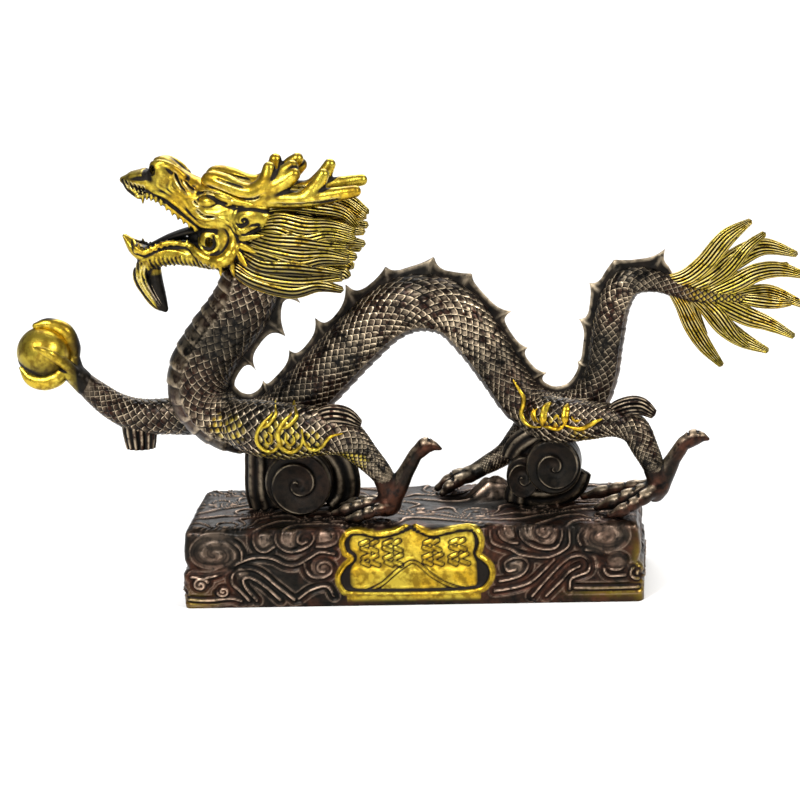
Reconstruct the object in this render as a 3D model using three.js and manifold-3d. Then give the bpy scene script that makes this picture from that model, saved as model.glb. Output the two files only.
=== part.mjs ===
// A cast dragon statue on its cloud-carved plinth: an ornament about 360 mm long.
// Two castings: the dragon with the pearl it grips, and the plinth with the two cloud
// scrolls that carry the dragon's belly. Millimetres, +Z up, +X towards the tail, the
// viewer's side at -Y. The origin is the centre of the plinth's underside.

import * as THREE from "three";
import { mergeVertices } from "three/addons/utils/BufferGeometryUtils.js";
import Module from "manifold-3d";

const wasm = await Module();
wasm.setup();

// ---- Driving dimensions ---------------------------------------------------------

const plinth = { length: 206, depth: 66, height: 37, flare: 2, waist: 17, round: 4 };
const castingGap = 0.3; // between the dragon and the plinth that carries it
const crest = { spines: 18, from: 0.07, to: 0.84, web: 3, spine: 10, halfThickness: 1.8, lean: 0.5 };
const pearl = { x: -169, y: 14, z: 109, radius: 12.5 };

// The dragon's spine from the nape to the tail's end: x, z and the half height there.
const spine = [
  [-58, 165, 10],
  [-65, 150, 13],
  [-74, 131, 14],
  [-86, 116, 14],
  [-94.5, 102, 14.2],
  [-94.5, 89, 14],
  [-85, 78.5, 13.2],
  [-72, 75.5, 12.6],
  [-59, 80, 12.6],
  [-47, 90, 12.6],
  [-24, 112.5, 12.5],
  [-9, 125.5, 12.7],
  [6, 131, 13.2],
  [21, 127, 12.5],
  [32, 114, 11.2],
  [42, 98, 10.3],
  [52, 83.5, 10.4],
  [65, 77.5, 10.8],
  [78, 82, 9.8],
  [86, 95, 7.9],
  [89, 110, 7.6],
  [93, 128, 7.4],
  [100, 137.5, 6.8],
  [112, 137.5, 5],
  [126, 132, 3.9],
  [140, 129.5, 3.3],
  [154, 129, 2.6],
];

// ---- Helpers --------------------------------------------------------------------

const acrossY = new THREE.Vector3(0, 1, 0);

// A three.js geometry as a solid. Only its places matter, so seams and poles are merged.
function solid(geometry) {
  const bare = geometry.clone();
  bare.deleteAttribute("normal");
  bare.deleteAttribute("uv");
  const merged = mergeVertices(bare, 1e-4);
  const vertProperties = new Float32Array(merged.attributes.position.array);
  const triVerts = new Uint32Array(merged.index.array);
  const make = () => new wasm.Manifold(new wasm.Mesh({ numProp: 3, vertProperties, triVerts }));
  const made = make();
  if (made.volume() > 0) return made;
  for (let i = 0; i < triVerts.length; i += 3) {
    [triVerts[i + 1], triVerts[i + 2]] = [triVerts[i + 2], triVerts[i + 1]];
  }
  return make();
}

const join = (solids) => solids.reduce((whole, piece) => whole.add(piece));

// A solid as a three.js mesh with its own name and finish.
function meshOf(name, shape, finish) {
  const { vertProperties, triVerts } = shape.getMesh();
  const geometry = new THREE.BufferGeometry();
  geometry.setAttribute("position", new THREE.BufferAttribute(new Float32Array(vertProperties), 3));
  geometry.setIndex(new THREE.BufferAttribute(new Uint32Array(triVerts), 1));
  geometry.computeVertexNormals();
  const mesh = new THREE.Mesh(geometry, new THREE.MeshStandardMaterial(finish));
  mesh.name = name;
  return mesh;
}

// A sphere whose poles go to the two ends and whose rings go along: place(t, angle) says
// where the surface is, t running from 0 to 1 between the poles.
function bend(sides, rings, place) {
  const ball = new THREE.SphereGeometry(1, sides, rings);
  const { position, uv } = ball.attributes;
  for (let i = 0; i < position.count; i++) {
    const p = place(1 - uv.getY(i), uv.getX(i) * 2 * Math.PI);
    position.setXYZ(i, p.x, p.y, p.z);
  }
  return solid(ball);
}

// A frame at t on a curve: its place, its direction, the way across and the way out.
function frameAt(curve, t, across = acrossY) {
  const at = curve.getPoint(t);
  const along = curve.getTangent(t);
  const out = new THREE.Vector3().crossVectors(along, across).normalize();
  return { at, along, out, side: new THREE.Vector3().crossVectors(out, along) };
}

// A round limb through stations [x, y, z, half width, half height]. Its first and last
// stations are its tips. The half width lies along `across`, the half height square to it.
function limb(stations, { sides = 6, perSpan = 2, across = acrossY } = {}) {
  const curve = new THREE.CatmullRomCurve3(stations.map(([x, y, z]) => new THREE.Vector3(x, y, z)));
  const size = new THREE.CatmullRomCurve3(
    stations.map(([, , , width = 0, height = width]) => new THREE.Vector3(width, height, 0)),
  );
  return bend(sides, Math.round((stations.length - 1) * perSpan), (t, angle) => {
    const { at, out, side } = frameAt(curve, t, across);
    const half = size.getPoint(t);
    const open = t > 0 && t < 1 ? 1 : 0;
    return at
      .addScaledVector(side, Math.max(half.x, 0.2) * Math.cos(angle) * open)
      .addScaledVector(out, Math.max(half.y, 0.2) * Math.sin(angle) * open);
  });
}

// An ellipsoid at a place with three half sizes.
function ball([x, y, z], [a, b, c], sides = 8, rings = 6) {
  const geometry = new THREE.SphereGeometry(1, sides, rings);
  geometry.rotateX(Math.PI / 2);
  geometry.scale(a, b, c);
  geometry.translate(x, y, z);
  return solid(geometry);
}

// The same stations on the dragon's other flank.
const flip = (stations) => stations.map(([x, y, ...rest]) => [x, -y, ...rest]);

// An outline drawn in X and Z, raised from y = back to y = front.
function plate(points, front, back) {
  const shape = new THREE.Shape(points.map(([x, z]) => new THREE.Vector2(x, z)));
  const geometry = new THREE.ExtrudeGeometry(shape, { depth: back - front, bevelEnabled: false });
  geometry.rotateX(Math.PI / 2);
  geometry.translate(0, back, 0);
  return solid(geometry);
}

// ---- Body and crest -------------------------------------------------------------

const spineCurve = new THREE.CatmullRomCurve3(spine.map(([x, z]) => new THREE.Vector3(x, 0, z)));
const girth = new THREE.CatmullRomCurve3(spine.map(([, , half]) => new THREE.Vector3(half, 0, 0)));

// The body's skin: a tube along the spine, a little narrower than it is high.
function bodyTube() {
  return bend(10, 56, (t, angle) => {
    const { at, out, side } = frameAt(spineCurve, t);
    const half = t > 0 && t < 1 ? girth.getPoint(t).x : 0;
    return at
      .addScaledVector(side, half * 0.96 * Math.sin(angle))
      .addScaledVector(out, half * Math.cos(angle));
  });
}

// How far the spine's inner bend leaves room towards `out`, or no limit where it bends away.
function innerRadius(turn, out) {
  const step = 0.01;
  const ahead = spineCurve.getTangent(Math.min(1, turn + step));
  const behind = spineCurve.getTangent(Math.max(0, turn - step));
  const travel = spineCurve.getPoint(turn + step).distanceTo(spineCurve.getPoint(turn - step));
  const bendRate = ahead.sub(behind).dot(out) / travel;
  return bendRate > 0.01 ? 0.92 / bendRate : Infinity;
}

// The crest: a thin web along the back that rises into backward-leaning spines.
function crestPlate() {
  const profile = [1, 0.3, 0, 0.3]; // the rise at each quarter of the way between two spines
  const rings = crest.spines * profile.length;
  return bend(3, rings, (t, angle) => {
    const reach = crest.from + (crest.to - crest.from) * t;
    const turn = spineCurve.getUtoTmapping(reach);
    const { at, along, out, side } = frameAt(spineCurve, turn);
    const half = girth.getPoint(turn).x;
    const fade = 0.5 + 0.5 * Math.min(1, half / 12);
    const tall = crest.web + (crest.spine - crest.web) * profile[Math.round(t * rings) % profile.length];
    const rise = Math.min(half + tall * fade, innerRadius(turn, out)) - half * 0.8;
    const open = t > 0 && t < 1 ? 1 : 0;
    const lift = half * 0.8 + open * Math.max(0, Math.cos(angle)) * rise;
    return at
      .addScaledVector(out, lift)
      .addScaledVector(along, crest.lean * Math.max(0, lift - half))
      .addScaledVector(side, open * crest.halfThickness * fade * Math.sin(angle));
  });
}

// ---- Head -----------------------------------------------------------------------

// Both flanks of a pair of pieces that `make` builds from stations on the viewer's side.
const pair = (stations, make) => [make(stations), make(flip(stations))];

function head() {
  const skull = limb(
    [
      [-123.5, 0, 190.5],
      [-118, 0, 190, 7, 4.6],
      [-110, 0, 189.5, 8.5, 6.5],
      [-101, 0, 185.5, 9, 8.2],
      [-91, 0, 180.5, 9.5, 9.4],
      [-80, 0, 174.5, 13, 11.5],
      [-67, 0, 171.5, 15, 13.5],
      [-54, 0, 169.5, 14, 13],
      [-42, 0, 167],
    ],
    { sides: 8, perSpan: 1.5 },
  );
  const jaw = limb(
    [
      [-125, 0, 166],
      [-119.5, 0, 158, 5, 3.6],
      [-112, 0, 154.5, 7.5, 4],
      [-102, 0, 156, 9, 5],
      [-92, 0, 157, 11, 6.5],
      [-80, 0, 158.5, 14, 9.5],
      [-66, 0, 163],
    ],
    { sides: 8 },
  );
  const beard = limb(
    [
      [-116, 0, 158],
      [-118.5, 0, 147, 5, 3.6],
      [-116, 0, 139, 4.4, 3.4],
      [-112, 0, 133, 3.4, 2.8],
      [-108, 0, 129.5],
    ],
    { sides: 6 },
  );
  const tongue = limb(
    [
      [-82, 0, 166],
      [-92, 0, 166.5, 5, 2.4],
      [-103, 0, 164, 4.5, 2.2],
      [-114, 0, 160],
    ],
    { sides: 6 },
  );
  const nostrils = pair([[-106.5, -4.5, 195.5]], ([at]) => ball(at, [5.5, 4.8, 5], 7, 5));
  const cheeks = pair([[-79, -9.5, 162]], ([at]) => ball(at, [9.5, 6.5, 8.5]));
  const eyes = pair([[-66, -11.5, 174.5]], ([at]) => ball(at, [8, 5, 6]));
  const fins = [-20, -50, -85].flatMap((turn) => {
    const [dx, dz] = [Math.cos((turn * Math.PI) / 180), Math.sin((turn * Math.PI) / 180)];
    const root = [-74 + 4 * dx, -13, 161 + 4 * dz];
    const tip = [-74 + 17 * dx, -17, 161 + 15 * dz];
    return pair([root, [(root[0] + tip[0]) / 2, -15.5, (root[2] + tip[2]) / 2, 2.5], tip], (s) =>
      limb(s, { sides: 4, perSpan: 1 }),
    );
  });
  return [skull, jaw, beard, tongue, ...nostrils, ...cheeks, ...eyes, ...fins];
}

// One antler: the stem that rolls back over the brow to a raised fork, and the stem that
// runs on over the mane to a second one.
function antler() {
  const brow = [
    [-87, -4.5, 189],
    [-79, -7, 187.5, 4],
    [-69, -8.5, 184.5, 4],
    [-60, -9, 186, 3.8],
    [-56, -9.5, 191, 3],
    [-56, -10, 199],
  ];
  const browTine = [[-59, -9, 184], [-53, -10, 187, 3.2], [-47, -10.5, 191.5, 2.8], [-41, -11, 195.5]];
  const rear = [
    [-66, -10, 180],
    [-54, -11, 180.5, 3.8],
    [-42, -12, 180, 3.6],
    [-30, -12.5, 180, 3],
    [-16, -13, 183],
  ];
  const rearTine = [[-42, -12, 179], [-35.5, -12, 185.5, 2.8], [-31, -12, 194.5]];
  return [brow, browTine, rear, rearTine];
}

// The mane: a full core, and locks that fan out from behind the cheek.
function mane() {
  const core = limb(
    [
      [-78, 0, 160],
      [-66, 0, 161, 15, 14],
      [-51, 0, 160.5, 17.5, 16],
      [-37, 0, 160.5, 16, 14],
      [-25, 0, 161],
    ],
    { sides: 8 },
  );
  const count = 6;
  const locks = Array.from({ length: count }, (_, i) => {
    const down = i / (count - 1);
    const root = [-62 - 12 * down, -13, 175 - 22 * down];
    const tip = [-19 - 13 * down ** 2, -15 + 3 * down, 172 - 28 * down];
    return [
      root,
      [-52 - 8 * down, -17, 172 - 25 * down, 3.2, 4.2],
      [-39 - 6 * down, -18.5, 170 - 26 * down, 3, 4.2],
      [-28 - 9 * down ** 2, -17.5 + 2 * down, 171 - 28 * down, 2.2, 3.2],
      tip,
    ];
  });
  const crown = [-7, 7].map((y) => {
    const stations = [[-60, y, 176], [-46, y, 178, 5, 4.5], [-30, y * 1.3, 175, 5, 4.5], [-13, y * 1.6, 166]];
    return limb(stations, { sides: 5 });
  });
  return [core, ...crown, ...locks.flatMap((s) => pair(s, (t) => limb(t, { sides: 5, perSpan: 1 })))];
}

// ---- Tail plume -----------------------------------------------------------------

// Flame-shaped tufts that leave the tail one after another, each a root, two bends and a tip.
function plume() {
  const tufts = [
    [[116, 136], [131, 143], [142, 158], [154, 165]],
    [[126, 132], [144, 145], [158, 152.5], [174, 147]],
    [[134, 130.5], [152, 139.5], [163, 142.5], [179, 138]],
    [[146, 129], [159, 131.5], [168, 129.5], [179, 124]],
    [[138, 129], [149, 121.5], [160, 117], [172, 111]],
    [[128, 131], [138, 118], [148, 109.5], [161, 104]],
    [[119, 134], [125, 119], [131.5, 109], [140, 98]],
  ];
  return tufts.map(([root, low, high, tip], i) => {
    const sway = i % 2 ? 1.5 : -1.5;
    return limb(
      [
        [root[0], 0, root[1]],
        [low[0], sway, low[1], 2.6, 4.2],
        [high[0], sway, high[1], 2.4, 3.8],
        [tip[0], sway / 2, tip[1]],
      ],
      { sides: 5 },
    );
  });
}

// ---- Legs -----------------------------------------------------------------------

// A toe from the palm to the claw's tip.
const toe = (stations) => limb(stations, { sides: 5, perSpan: 1 });

function nearForeleg() {
  const arm = [
    [-84, -6, 82],
    [-69, -12, 79.5, 9, 12],
    [-53, -16, 78.5, 8.5, 11],
    [-38, -19, 78.5, 7.5, 9],
    [-27, -20, 74.5, 6.8, 7.8],
    [-18.5, -20, 65, 5.6, 6],
    [-11, -20, 56, 4.8, 5],
    [-8, -20, 48, 5, 5.4],
    [-10, -20, 41],
  ];
  return [
    limb(arm, { sides: 7, perSpan: 1.5 }),
    ball([-10, -20, 42], [7, 6, 4.5], 7, 5),
    toe([[-10, -20, 42], [-20, -22, 42, 3, 3.2], [-29, -24, 41, 2.6, 2.8], [-40, -25, 38]]),
    toe([[-8, -22, 42], [-15, -26.5, 41, 2.8, 3], [-22, -29, 40, 2.4, 2.6], [-29, -30.5, 37.5]]),
    toe([[-8, -18, 42], [-18, -14, 41.5, 2.8, 3], [-27, -11, 40.5, 2.4, 2.6], [-35, -10, 38]]),
    limb(
      [[-7, -20, 46], [-2, -20, 56, 3.8], [3.5, -20, 66, 3], [8, -20, 71, 3.2], [15, -20, 68]],
      { sides: 5 },
    ),
    limb([[-40, -19, 80], [-31, -21, 85, 3, 5], [-21, -21, 84]], { sides: 6 }),
  ];
}

function nearHindleg() {
  const leg = [
    [54, -5, 80],
    [66, -11, 77.5, 8, 11],
    [80, -15, 78, 8, 9.5],
    [92, -18, 79, 7, 7.4],
    [101, -20, 76.5, 6.4, 6.6],
    [104.5, -20, 68, 5.8, 6],
    [108, -20, 59, 5, 5.2],
    [110, -20, 51, 5, 5.4],
    [107, -20, 43],
  ];
  return [
    limb(leg, { sides: 7, perSpan: 1.5 }),
    toe([[112, -20, 50], [101, -22, 45.5, 3.2, 3.6], [92, -24, 42.5, 2.8, 3], [81, -25, 38]]),
    toe([[110, -22, 49], [102, -27, 44, 3, 3.2], [94, -29.5, 41, 2.6, 2.8], [86, -30.5, 37.5]]),
    toe([[110, -18, 50], [98, -12, 46, 3, 3.2], [88, -8, 43, 2.6, 2.8], [79, -7, 38]]),
    limb(
      [[112, -20, 50], [116.5, -20, 58, 4], [121, -20, 67, 3], [126, -20, 72, 3.2], [133.5, -20, 70]],
      { sides: 5 },
    ),
    limb(
      [[88, -17, 80], [97, -20, 86, 3.6, 4.6], [105, -21, 85.5, 3.2, 4.2], [110.5, -21, 81]],
      { sides: 6 },
    ),
  ];
}

function farHindleg() {
  const leg = [
    [66, 5, 78],
    [56, 11, 71, 7, 8.5],
    [48, 15, 62.5, 6, 6.5],
    [41, 17, 55, 5, 5.2],
    [32, 18, 49, 4.6, 4.6],
    [22, 18, 45, 4.2, 3.8],
    [15, 18, 41],
  ];
  return [
    limb(leg, { sides: 7, perSpan: 1.5 }),
    toe([[28, 18, 46], [19, 18, 45, 3, 2.8], [9, 18, 38]]),
    toe([[30, 19, 45], [22, 24, 43.5, 2.8, 2.8], [13, 27, 38]]),
    toe([[30, 17, 45], [21, 12.5, 43.5, 2.8, 2.8], [12, 10, 38]]),
    limb([[54, 15, 66], [60, 17, 60, 3, 3.6], [62, 18, 53]], { sides: 5 }),
  ];
}

// The raised arm with the pearl in its claws.
function raisedArm() {
  const arm = [
    [-84, 4, 82],
    [-98, 9, 79, 8, 9.5],
    [-112, 12.5, 77.5, 7.6, 8.6],
    [-126, 14, 77.5, 7.2, 8.2],
    [-137, 14, 82, 6.4, 7],
    [-146, 14, 89, 5.6, 6],
    [-154, 14, 96.5, 5, 5.4],
    [-162, 14, 103],
  ];
  const { x, y, z, radius } = pearl;
  const hug = radius + 1;
  const finger = (turn, reach) =>
    limb(
      [0, 0.34, 0.67, 1].map((k) => {
        const swing = (k * reach * Math.PI) / 180;
        const away = new THREE.Vector3(0.79, 0, -0.61).multiplyScalar(Math.cos(swing) * hug);
        const aside = new THREE.Vector3(0.61 * Math.cos(turn), -Math.sin(turn), 0.79 * Math.cos(turn));
        away.addScaledVector(aside, Math.sin(swing) * hug);
        return [x + away.x, y + away.y, z + away.z, 2.6 - 1.4 * k];
      }),
      { sides: 5, across: aside(turn) },
    );
  return [
    limb(arm, { sides: 7, perSpan: 1.5 }),
    ball([x, y, z], [radius, radius, radius], 12, 8),
    ...[0, 90, 180, 270].map((turn, i) => finger(((turn + 25) * Math.PI) / 180, [120, 100, 95, 100][i])),
    limb(
      [[-127, 14, 76], [-127, 14, 69, 5, 8], [-127, 14, 64, 4.4, 7.6], [-127, 14, 61]],
      { sides: 6, perSpan: 1 },
    ),
  ];
}

// A level direction square to a finger's plane, so that its frame never flips.
const aside = (turn) => new THREE.Vector3(0.61 * Math.sin(turn), Math.cos(turn), 0.79 * Math.sin(turn));

// ---- Plinth ---------------------------------------------------------------------

// The block, `grow` larger all round: its front outline crossed with its end outline.
function block(grow = 0) {
  const { length, depth, height, flare, waist, round } = plinth;
  const outline = (half, step) => {
    const wide = half + grow;
    const top = height + grow;
    return [
      [-wide - step, -grow],
      [wide + step, -grow],
      [wide + step, waist - step],
      [wide, waist + step],
      [wide, top - round],
      [wide - 0.3 * round, top - 0.3 * round],
      [wide - round, top],
      [round - wide, top],
      [0.3 * round - wide, top - 0.3 * round],
      [-wide, top - round],
      [-wide, waist + step],
      [-wide - step, waist - step],
    ];
  };
  const front = plate(outline(length / 2 - flare, flare), -depth, depth);
  const end = new THREE.ExtrudeGeometry(
    new THREE.Shape(outline(depth / 2 - flare / 2, flare / 2).map(([y, z]) => new THREE.Vector2(y, z))),
    { depth: length * 2, bevelEnabled: false },
  );
  end.rotateX(Math.PI / 2);
  end.rotateZ(Math.PI / 2);
  end.translate(-length, 0, 0);
  return front.intersect(solid(end));
}

// The cloud scrolls that carry the belly, `grow` larger all round: rolls lying along Y.
function scrolls(grow = 0) {
  const roll = (x, z, rx, rz, front, back) => {
    const geometry = new THREE.CylinderGeometry(1, 1, back - front + 2 * grow, 14);
    geometry.scale(rx + grow, 1, rz + grow);
    geometry.translate(x, (front + back) / 2, z);
    return solid(geometry);
  };
  return join([
    roll(-51, 52, 15.5, 15.5, -15, 10),
    roll(-66, 50, 8, 16, -9, 9),
    roll(-37, 51, 6, 14, -7, 12),
    roll(64, 56, 12.5, 13.5, -12, 9),
    roll(50, 48, 8, 13, -9, 7),
  ]);
}

// A spiral ridge drawn in X and Z: a band that winds in to its middle and thins as it goes.
function spiral(x, z, radius, { turns = 1.6, start = 0, hand = 1, width = 2.6, steps = 12 } = {}) {
  const edge = (side) =>
    Array.from({ length: steps + 1 }, (_, i) => {
      const k = i / steps;
      const angle = start + hand * k * turns * 2 * Math.PI;
      const far = radius * (1 - 0.86 * k) + side * width * 0.5 * (1 - 0.6 * k);
      return [x + far * Math.cos(angle), z + far * Math.sin(angle)];
    });
  return [...edge(1), ...edge(-1).reverse()];
}

// The cartouche's bracketed outline about its centre, `inset` inside the outermost one.
function cartoucheOutline(inset) {
  const half = [
    [0, 16.5],
    [8, 12.5],
    [25, 14.5],
    [30.5, 10.5],
    [28.5, 3],
    [34.5, -6],
    [31, -13.5],
    [21, -16],
    [0, -16],
  ].map(([x, z]) => [x * (1 - inset / 34.5), z * (1 - inset / 16.5)]);
  const mirrored = half.slice(1, -1).reverse().map(([x, z]) => [-x, z]);
  return [...half, ...mirrored].map(([x, z]) => [x + 1.5, z + 21]);
}

function reliefs() {
  const face = -plinth.depth / 2;
  const raised = (points, rise) => plate(points, face - rise, face + 2);
  const panel = plate(cartoucheOutline(3), face - 3, face - 0.4);
  const peak = [[-21, 7], [1.5, 22], [24, 7], [21, 5.5], [1.5, 18.5], [-18, 5.5]];
  const nearApron = [
    [-84, 3],
    [-85, 14],
    [-79, 18],
    [-72, 17],
    [-54, 3],
    [-58, 3],
    [-73, 14.5],
    [-78, 15],
    [-82, 12],
    [-81, 3],
  ];
  const farApron = [
    [80, 3],
    [81, 14],
    [75, 21],
    [69, 21],
    [54, 3],
    [58, 3],
    [70, 18],
    [74, 18],
    [78, 13],
    [77, 3],
  ];
  return [
    raised(cartoucheOutline(0), 1.6).subtract(panel),
    raised(peak, 1.2),
    raised(spiral(-87, 26, 9.5, { start: 3 }), 1.2),
    raised(spiral(-42, 17, 6, { start: 0.5, hand: -1 }), 1.2),
    raised(spiral(46, 17, 6, { start: 2.6 }), 1.2),
    raised(spiral(62, 30, 7.5, { start: 3.2, hand: -1 }), 1.2),
    raised(spiral(87, 28, 9.5, { start: 0, hand: -1 }), 1.2),
    raised(nearApron, 1.4),
    raised(farApron, 1.4),
  ];
}

// ---- The two castings -----------------------------------------------------------

const bronze = { color: 0x2e211a, roughness: 0.42, metalness: 0.9 };
const darkBronze = { color: 0x241b18, roughness: 0.48, metalness: 0.85 };

const antlers = antler().flatMap((stations) => pair(stations, (s) => limb(s, { sides: 6, perSpan: 1 })));
const wholeDragon = join([
  bodyTube(),
  crestPlate(),
  ...head(),
  ...mane(),
  ...antlers,
  ...plume(),
  ...nearForeleg(),
  ...nearHindleg(),
  ...farHindleg(),
  ...raisedArm(),
]);
const dragon = wholeDragon.subtract(block(castingGap)).subtract(scrolls(castingGap));
const base = join([block(), scrolls(), ...reliefs()]);

const statue = new THREE.Group();
statue.add(meshOf("dragon", dragon, bronze));
statue.add(meshOf("plinth", base, darkBronze));

export default statue;
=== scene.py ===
# %% [markdown]
# A dragon statue of cast and patinated brass, worked out as surfaces. The casting's sizes
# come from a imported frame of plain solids. This first step loads that frame and keeps its
# box, because everything made later has to stay inside it. Lengths are in millimetres until
# a mesh is made. The plinth's block is twice HALF_LONG by twice HALF_WIDE, and TOP high.

# %% Load the frame
import math

import bmesh
import bpy
import numpy as np
from mathutils import Matrix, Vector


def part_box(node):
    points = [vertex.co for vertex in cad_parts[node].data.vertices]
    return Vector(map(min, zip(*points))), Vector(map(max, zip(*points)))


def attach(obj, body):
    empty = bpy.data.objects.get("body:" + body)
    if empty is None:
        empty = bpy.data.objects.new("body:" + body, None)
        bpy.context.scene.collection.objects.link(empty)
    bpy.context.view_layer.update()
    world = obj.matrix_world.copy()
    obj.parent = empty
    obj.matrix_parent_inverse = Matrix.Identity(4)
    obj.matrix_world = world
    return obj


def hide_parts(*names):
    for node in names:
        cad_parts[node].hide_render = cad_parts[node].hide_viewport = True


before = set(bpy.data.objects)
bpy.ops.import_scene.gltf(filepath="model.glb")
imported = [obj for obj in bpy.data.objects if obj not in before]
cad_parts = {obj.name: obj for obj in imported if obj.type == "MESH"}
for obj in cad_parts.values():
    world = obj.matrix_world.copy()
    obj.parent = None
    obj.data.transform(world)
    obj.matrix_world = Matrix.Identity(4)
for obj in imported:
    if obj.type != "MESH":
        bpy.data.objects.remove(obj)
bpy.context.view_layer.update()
MM = 0.001
base_low, base_high = (np.array(corner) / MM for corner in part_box("plinth"))
dragon_low, dragon_high = (np.array(corner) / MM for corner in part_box("dragon"))
HALF_LONG, HALF_WIDE, TOP = 103, 33, 37.0
print("plinth from", base_low.round(1), "to", base_high.round(1))
print("dragon from", dragon_low.round(1), "to", dragon_high.round(1))

# %% [markdown]
# The camera stands a little above the statue and almost square to its front, with a long
# lens, as for a catalogue. Its three directions are worked out from two angles and a small
# roll, so they can be changed without moving anything else.

# %% Camera
AZIMUTH, ELEVATION, ROLL = (math.radians(angle) for angle in (6, 15, 2.9))
DISTANCE, LENS = 1250, 125
AIM = np.array([-4.4, 0, 86])

back = np.array([math.sin(AZIMUTH) * math.cos(ELEVATION), -math.cos(AZIMUTH) * math.cos(ELEVATION),
                 math.sin(ELEVATION)])
level = np.array([math.cos(AZIMUTH), math.sin(AZIMUTH), 0])
rise = np.cross(back, level)
right = level * math.cos(ROLL) - rise * math.sin(ROLL)
upward = level * math.sin(ROLL) + rise * math.cos(ROLL)

camera = bpy.data.objects.new("camera", bpy.data.cameras.new("camera"))
camera.data.lens, camera.data.sensor_width = LENS, 36
camera.data.clip_start, camera.data.clip_end = 0.05, 20
turn = np.eye(4)
turn[:3, :3] = np.stack([right, upward, back], axis=1)
turn[:3, 3] = (AIM + back * DISTANCE) * MM
camera.matrix_world = Matrix(turn.tolist())
bpy.context.scene.collection.objects.link(camera)
bpy.context.scene.camera = camera
print("camera at", turn[:3, 3].round(3))

# %% [markdown]
# Metal shows what it reflects, so the light is a few broad panels round the statue and a
# pale surround. Wide panels give the long soft highlights of a light tent; a small bright
# one picks out the rims of the scales.

# %% Lights and surround
def panel(name, place, size, power, colour=(1, 1, 1)):
    """A square light of a given size in metres at a place in metres, facing the statue."""
    light = bpy.data.lights.new(name, "AREA")
    light.size, light.energy, light.color = size, power, colour
    lamp = bpy.data.objects.new(name, light)
    bpy.context.scene.collection.objects.link(lamp)
    away = np.array(place) - AIM * MM
    away = away / np.linalg.norm(away)
    across = np.cross([0, 0, 1.0], away)
    across = across / np.linalg.norm(across)
    pose = np.eye(4)
    pose[:3, :3] = np.stack([across, np.cross(away, across), away], axis=1)
    pose[:3, 3] = place
    lamp.matrix_world = Matrix(pose.tolist())


panel("key_panel", (-0.5, -0.8, 1.0), 0.3, 15)
panel("rim_panel", (0.8, -0.5, 0.75), 0.22, 8, (1, 0.97, 0.92))
panel("wash_panel", (0.2, 2.2, 2.2), 2.4, 85)
panel("low_panel", (-0.2, -1.3, 0.12), 0.25, 2.5)

world = bpy.data.worlds.new("surround")
world.use_nodes = True
world.node_tree.nodes["Background"].inputs["Color"].default_value = (1, 1, 1, 1)
world.node_tree.nodes["Background"].inputs["Strength"].default_value = 0.25
bpy.context.scene.world = world
bpy.context.scene.view_settings.view_transform = "Standard"
print("lights", [light.name for light in bpy.data.lights])

# %% [markdown]
# Every skin below is a grid of points: rows along the piece, columns round it, and one
# point where each end closes. One function turns such a grid into a mesh, so a shape is
# only ever a formula for its points. Two pattern coordinates can be kept beside the
# points, as a UV map that the finish reads.

# %% Grids to meshes
def unit(vectors):
    """Vectors divided by their lengths."""
    return vectors / np.maximum(np.linalg.norm(vectors, axis=-1, keepdims=True), 1e-9)


def mesh_piece(name, points, faces, uv=None, masks=None):
    """A mesh from points in millimetres and a list of equal-sided face index arrays."""
    mesh = bpy.data.meshes.new(name)
    sizes = np.concatenate([np.full(len(block), block.shape[1]) for block in faces])
    corners = np.concatenate([block.ravel() for block in faces])
    mesh.vertices.add(len(points))
    mesh.vertices.foreach_set("co", (points * MM).ravel())
    mesh.loops.add(len(corners))
    mesh.loops.foreach_set("vertex_index", corners)
    mesh.polygons.add(len(sizes))
    mesh.polygons.foreach_set("loop_start", np.cumsum(sizes) - sizes)
    mesh.polygons.foreach_set("use_smooth", np.ones(len(sizes), bool))
    if uv is not None:
        mesh.uv_layers.new(name="pattern").data.foreach_set("uv", np.concatenate(uv).ravel())
    for key, values in (masks or {}).items():
        mesh.attributes.new(key, "FLOAT", "POINT").data.foreach_set("value", values.ravel())
    mesh.update(calc_edges=True)
    mesh.validate()
    piece = bpy.data.objects.new(name, mesh)
    bpy.context.scene.collection.objects.link(piece)
    return piece


def grid_quads(rows, cols):
    """The quads of a grid closed round its columns: point i * cols + j and its neighbours."""
    i, j = np.arange(rows - 1)[:, None], np.arange(cols)[None, :]
    k = (j + 1) % cols
    corners = [i * cols + j, i * cols + k, (i + 1) * cols + k, (i + 1) * cols + j]
    return np.stack(corners, -1).reshape(-1, 4)


def grid_faces(rows, cols, start):
    """The quads of a closed grid, and the triangles at its two poles, counted from start."""
    quads = grid_quads(rows, cols)
    ring, after = np.arange(cols), (np.arange(cols) + 1) % cols
    first, last = rows * cols, rows * cols + 1
    low = np.stack([after, ring, np.full(cols, first)], 1)
    high = np.stack([(rows - 1) * cols + ring, (rows - 1) * cols + after, np.full(cols, last)], 1)
    return quads + start, np.concatenate([low, high]) + start


def grid_uv(u, v):
    """Face-corner coordinates for grid_faces: u by row, and v by column or by row and
    column, with one column more than the points have."""
    v = np.atleast_2d(v) + 0 * u[:, None]
    both = np.stack([u[:, None] + 0 * v, v], -1)
    quads = np.stack([both[:-1, :-1], both[:-1, 1:], both[1:, 1:], both[1:, :-1]], 2)
    low = np.stack([both[0, 1:], both[0, :-1], both[0, :-1]], 1)
    high = np.stack([both[-1, :-1], both[-1, 1:], both[-1, :-1]], 1)
    return quads.reshape(-1, 2), np.concatenate([low, high]).reshape(-1, 2)


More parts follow.
